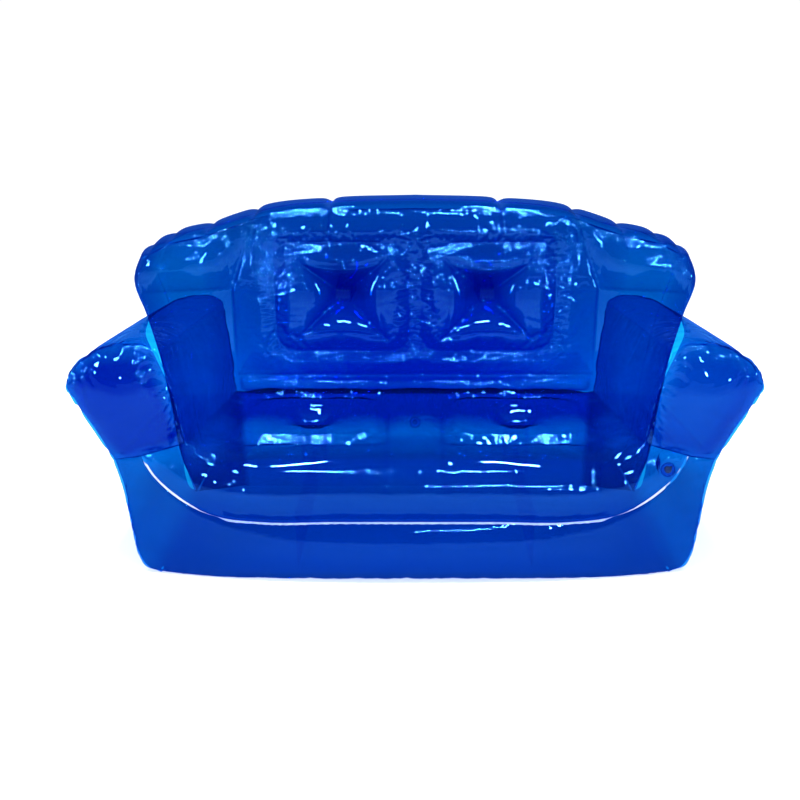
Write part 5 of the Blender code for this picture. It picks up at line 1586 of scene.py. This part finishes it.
FLAP_TOP = -0.0128
for name, turn in VALVES.items():
    plug = VALVE_PLASTIC if name == "seat_valve" else CLEAR_PLUG
    valve_piece(name + "_flange_disc", flange_shape(), turn, name + "_flange", "shell", FLANGE_FILM)
    valve_piece(name + "_stem_tube", stem_shape(), turn, name + "_stem", name + "_stem_body", plug)
    lid = turn @ Matrix.Translation((0, 0, LID_BOTTOM))
    valve_piece(name + "_cap_lid", cap_shape(), lid, name + "_cap", name + "_cap_body", plug)
    disc = turn @ Matrix.Translation((0, 0, FLAP_TOP))
    valve_piece(name + "_flap_disc", flap_shape(), disc, name + "_flap", name + "_flap_body", plug)

# %% The chambers that air holds tight
PADDED = ["seat_cover_film", "back_front_film", "back_rear_film", "skirt_front_film"]
PADDED += [f"{side}_arm_{part}_film" for side in ("left", "right") for part in ("outer", "inner", "front")]
print("tight with air:", len(PADDED), "sheets")

# %% [markdown]
# ## Floor and light
# A plain pale floor and an even sky light the film from all sides, as in a studio. A few small windows
# and long, narrow lamps, in front of the couch, beside it and above it, leave the short white dashes that
# make wet-looking film read as film.

# %% Floor
FLOOR_SIZE, FLOOR_DROP = 60.0, 0.001
GLOW_START, GLOW_END = 0.80, 1.7


def grey(value):
    return (value, value, value)


def floor_finish():
    finish = Finish("studio_floor")
    colour = finish.mixed_colour(finish.noise(3.0, 2.0), grey(0.36), (0.348, 0.35, 0.352))
    away = finish.node("ShaderNodeVectorMath", {"operation": "LENGTH"}, {0: finish.place}, "Value")
    share = ((away - GLOW_START) / (GLOW_END - GLOW_START)).kept_in(0.0, 1.0)
    glow = finish.mixed_colour(share, grey(0.32), grey(1.2))
    values = {"Base Color": colour, "Roughness": 0.7, "Emission Color": glow, "Emission Strength": 0.80}
    return finish.shown(finish.node("ShaderNodeBsdfPrincipled", None, values))


floor_mesh = bpy.data.meshes.new("studio_floor")
floor_shape = bmesh.new()
bmesh.ops.create_grid(floor_shape, x_segments=2, y_segments=2, size=FLOOR_SIZE)
floor_shape.to_mesh(floor_mesh)
floor_shape.free()
floor_mesh.materials.append(floor_finish())
floor_object = bpy.data.objects.new("studio_floor", floor_mesh)
floor_object.location.z = -FLOOR_DROP
bpy.context.scene.collection.objects.link(floor_object)
floor_object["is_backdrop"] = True

# %% Sky, bright to the camera and dim in what the film mirrors, but for a low wall behind the couch
SKY_SEEN, SKY_MIRRORED, WALL_MIRRORED = 1.02, 0.14, 0.88

world = bpy.data.worlds.new("studio")
bpy.context.scene.world = world
world.use_nodes = True
sky = Finish("sky", world.node_tree)
direction = sky.node("ShaderNodeTexCoord", output="Generated")
height = sky.node("ShaderNodeSeparateXYZ", None, {"Vector": direction}, "Z")
behind = sky.node("ShaderNodeSeparateXYZ", None, {"Vector": direction}, "Y")
low_wall = 1.0 - ((height - 0.38) * 4.0).kept_in(0.0, 1.0)
mirrored_room = SKY_MIRRORED + WALL_MIRRORED * low_wall * ((behind + 0.1) * 2.0).kept_in(0.0, 1.0)
seen = sky.node("ShaderNodeLightPath", output="Is Camera Ray")
strength = mirrored_room + (SKY_SEEN - mirrored_room) * seen
background = sky.shader("ShaderNodeBackground", grey(1.0), Strength=strength)
sky.node("ShaderNodeOutputWorld", None, {"Surface": background})

# %% Lamps, all turned to the middle of the couch
FOCUS = (0.0, 0.0, 0.45)
WINDOW_LIGHT, SIDE_LIGHT, NARROW_LIGHT = 750, 550, 1000


def lamp(name, place, size, brightness):
    data = bpy.data.lights.new(name, "AREA")
    data.shape = "RECTANGLE"
    data.size, data.size_y = size
    data.energy = brightness * math.pi * size[0] * size[1]
    thing = bpy.data.objects.new(name, data)
    thing.location = place
    thing.rotation_euler = (Vector(FOCUS) - Vector(place)).to_track_quat("-Z", "Y").to_euler()
    bpy.context.scene.collection.objects.link(thing)


lamp("window_left", (-2.2, -3.0, 2.2), (0.26, 0.15), WINDOW_LIGHT)
lamp("window_right", (1.9, -3.2, 2.3), (0.32, 0.13), WINDOW_LIGHT)
lamp("window_low", (0.7, -4.2, 1.9), (1.2, 0.030), WINDOW_LIGHT)
lamp("side_strip_left", (-3.2, -1.0, 0.9), (0.04, 1.2), SIDE_LIGHT)
lamp("side_strip_right", (3.2, -1.0, 0.9), (0.04, 1.2), SIDE_LIGHT)
for number, x in enumerate((-1.2, -0.5, 0.35, 1.2)):
    lamp(f"ceiling_front_{number}", (x, -0.9, 2.7), (0.50, 0.04), NARROW_LIGHT)
for number, x in enumerate((-0.6, 0.5)):
    lamp(f"ceiling_back_{number}", (x, 0.3, 2.4), (0.6, 0.05), NARROW_LIGHT)
small_places = ((-1.1, -3.0, 0.8), (0.9, -3.1, 0.95), (2.0, -2.6, 0.7), (-2.4, -2.2, 1.0))
for number, place in enumerate(small_places):
    lamp(f"small_window_{number}", place, (0.07, 0.09), NARROW_LIGHT)

scene = bpy.context.scene
scene.view_settings.view_transform = "Standard"
scene.cycles.transparent_max_bounces = 24
print("lamps:", len(bpy.data.lights))

# %% [markdown]
# ## Size of the visual model
# The box round all shown pieces is worked out, and its size is printed.

# %% Sizes, and the end
bpy.context.view_layer.update()
low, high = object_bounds()
print("visual size:", [round(b - a, 3) for a, b in zip(low, high)], round(time.time() - started, 1), "s")
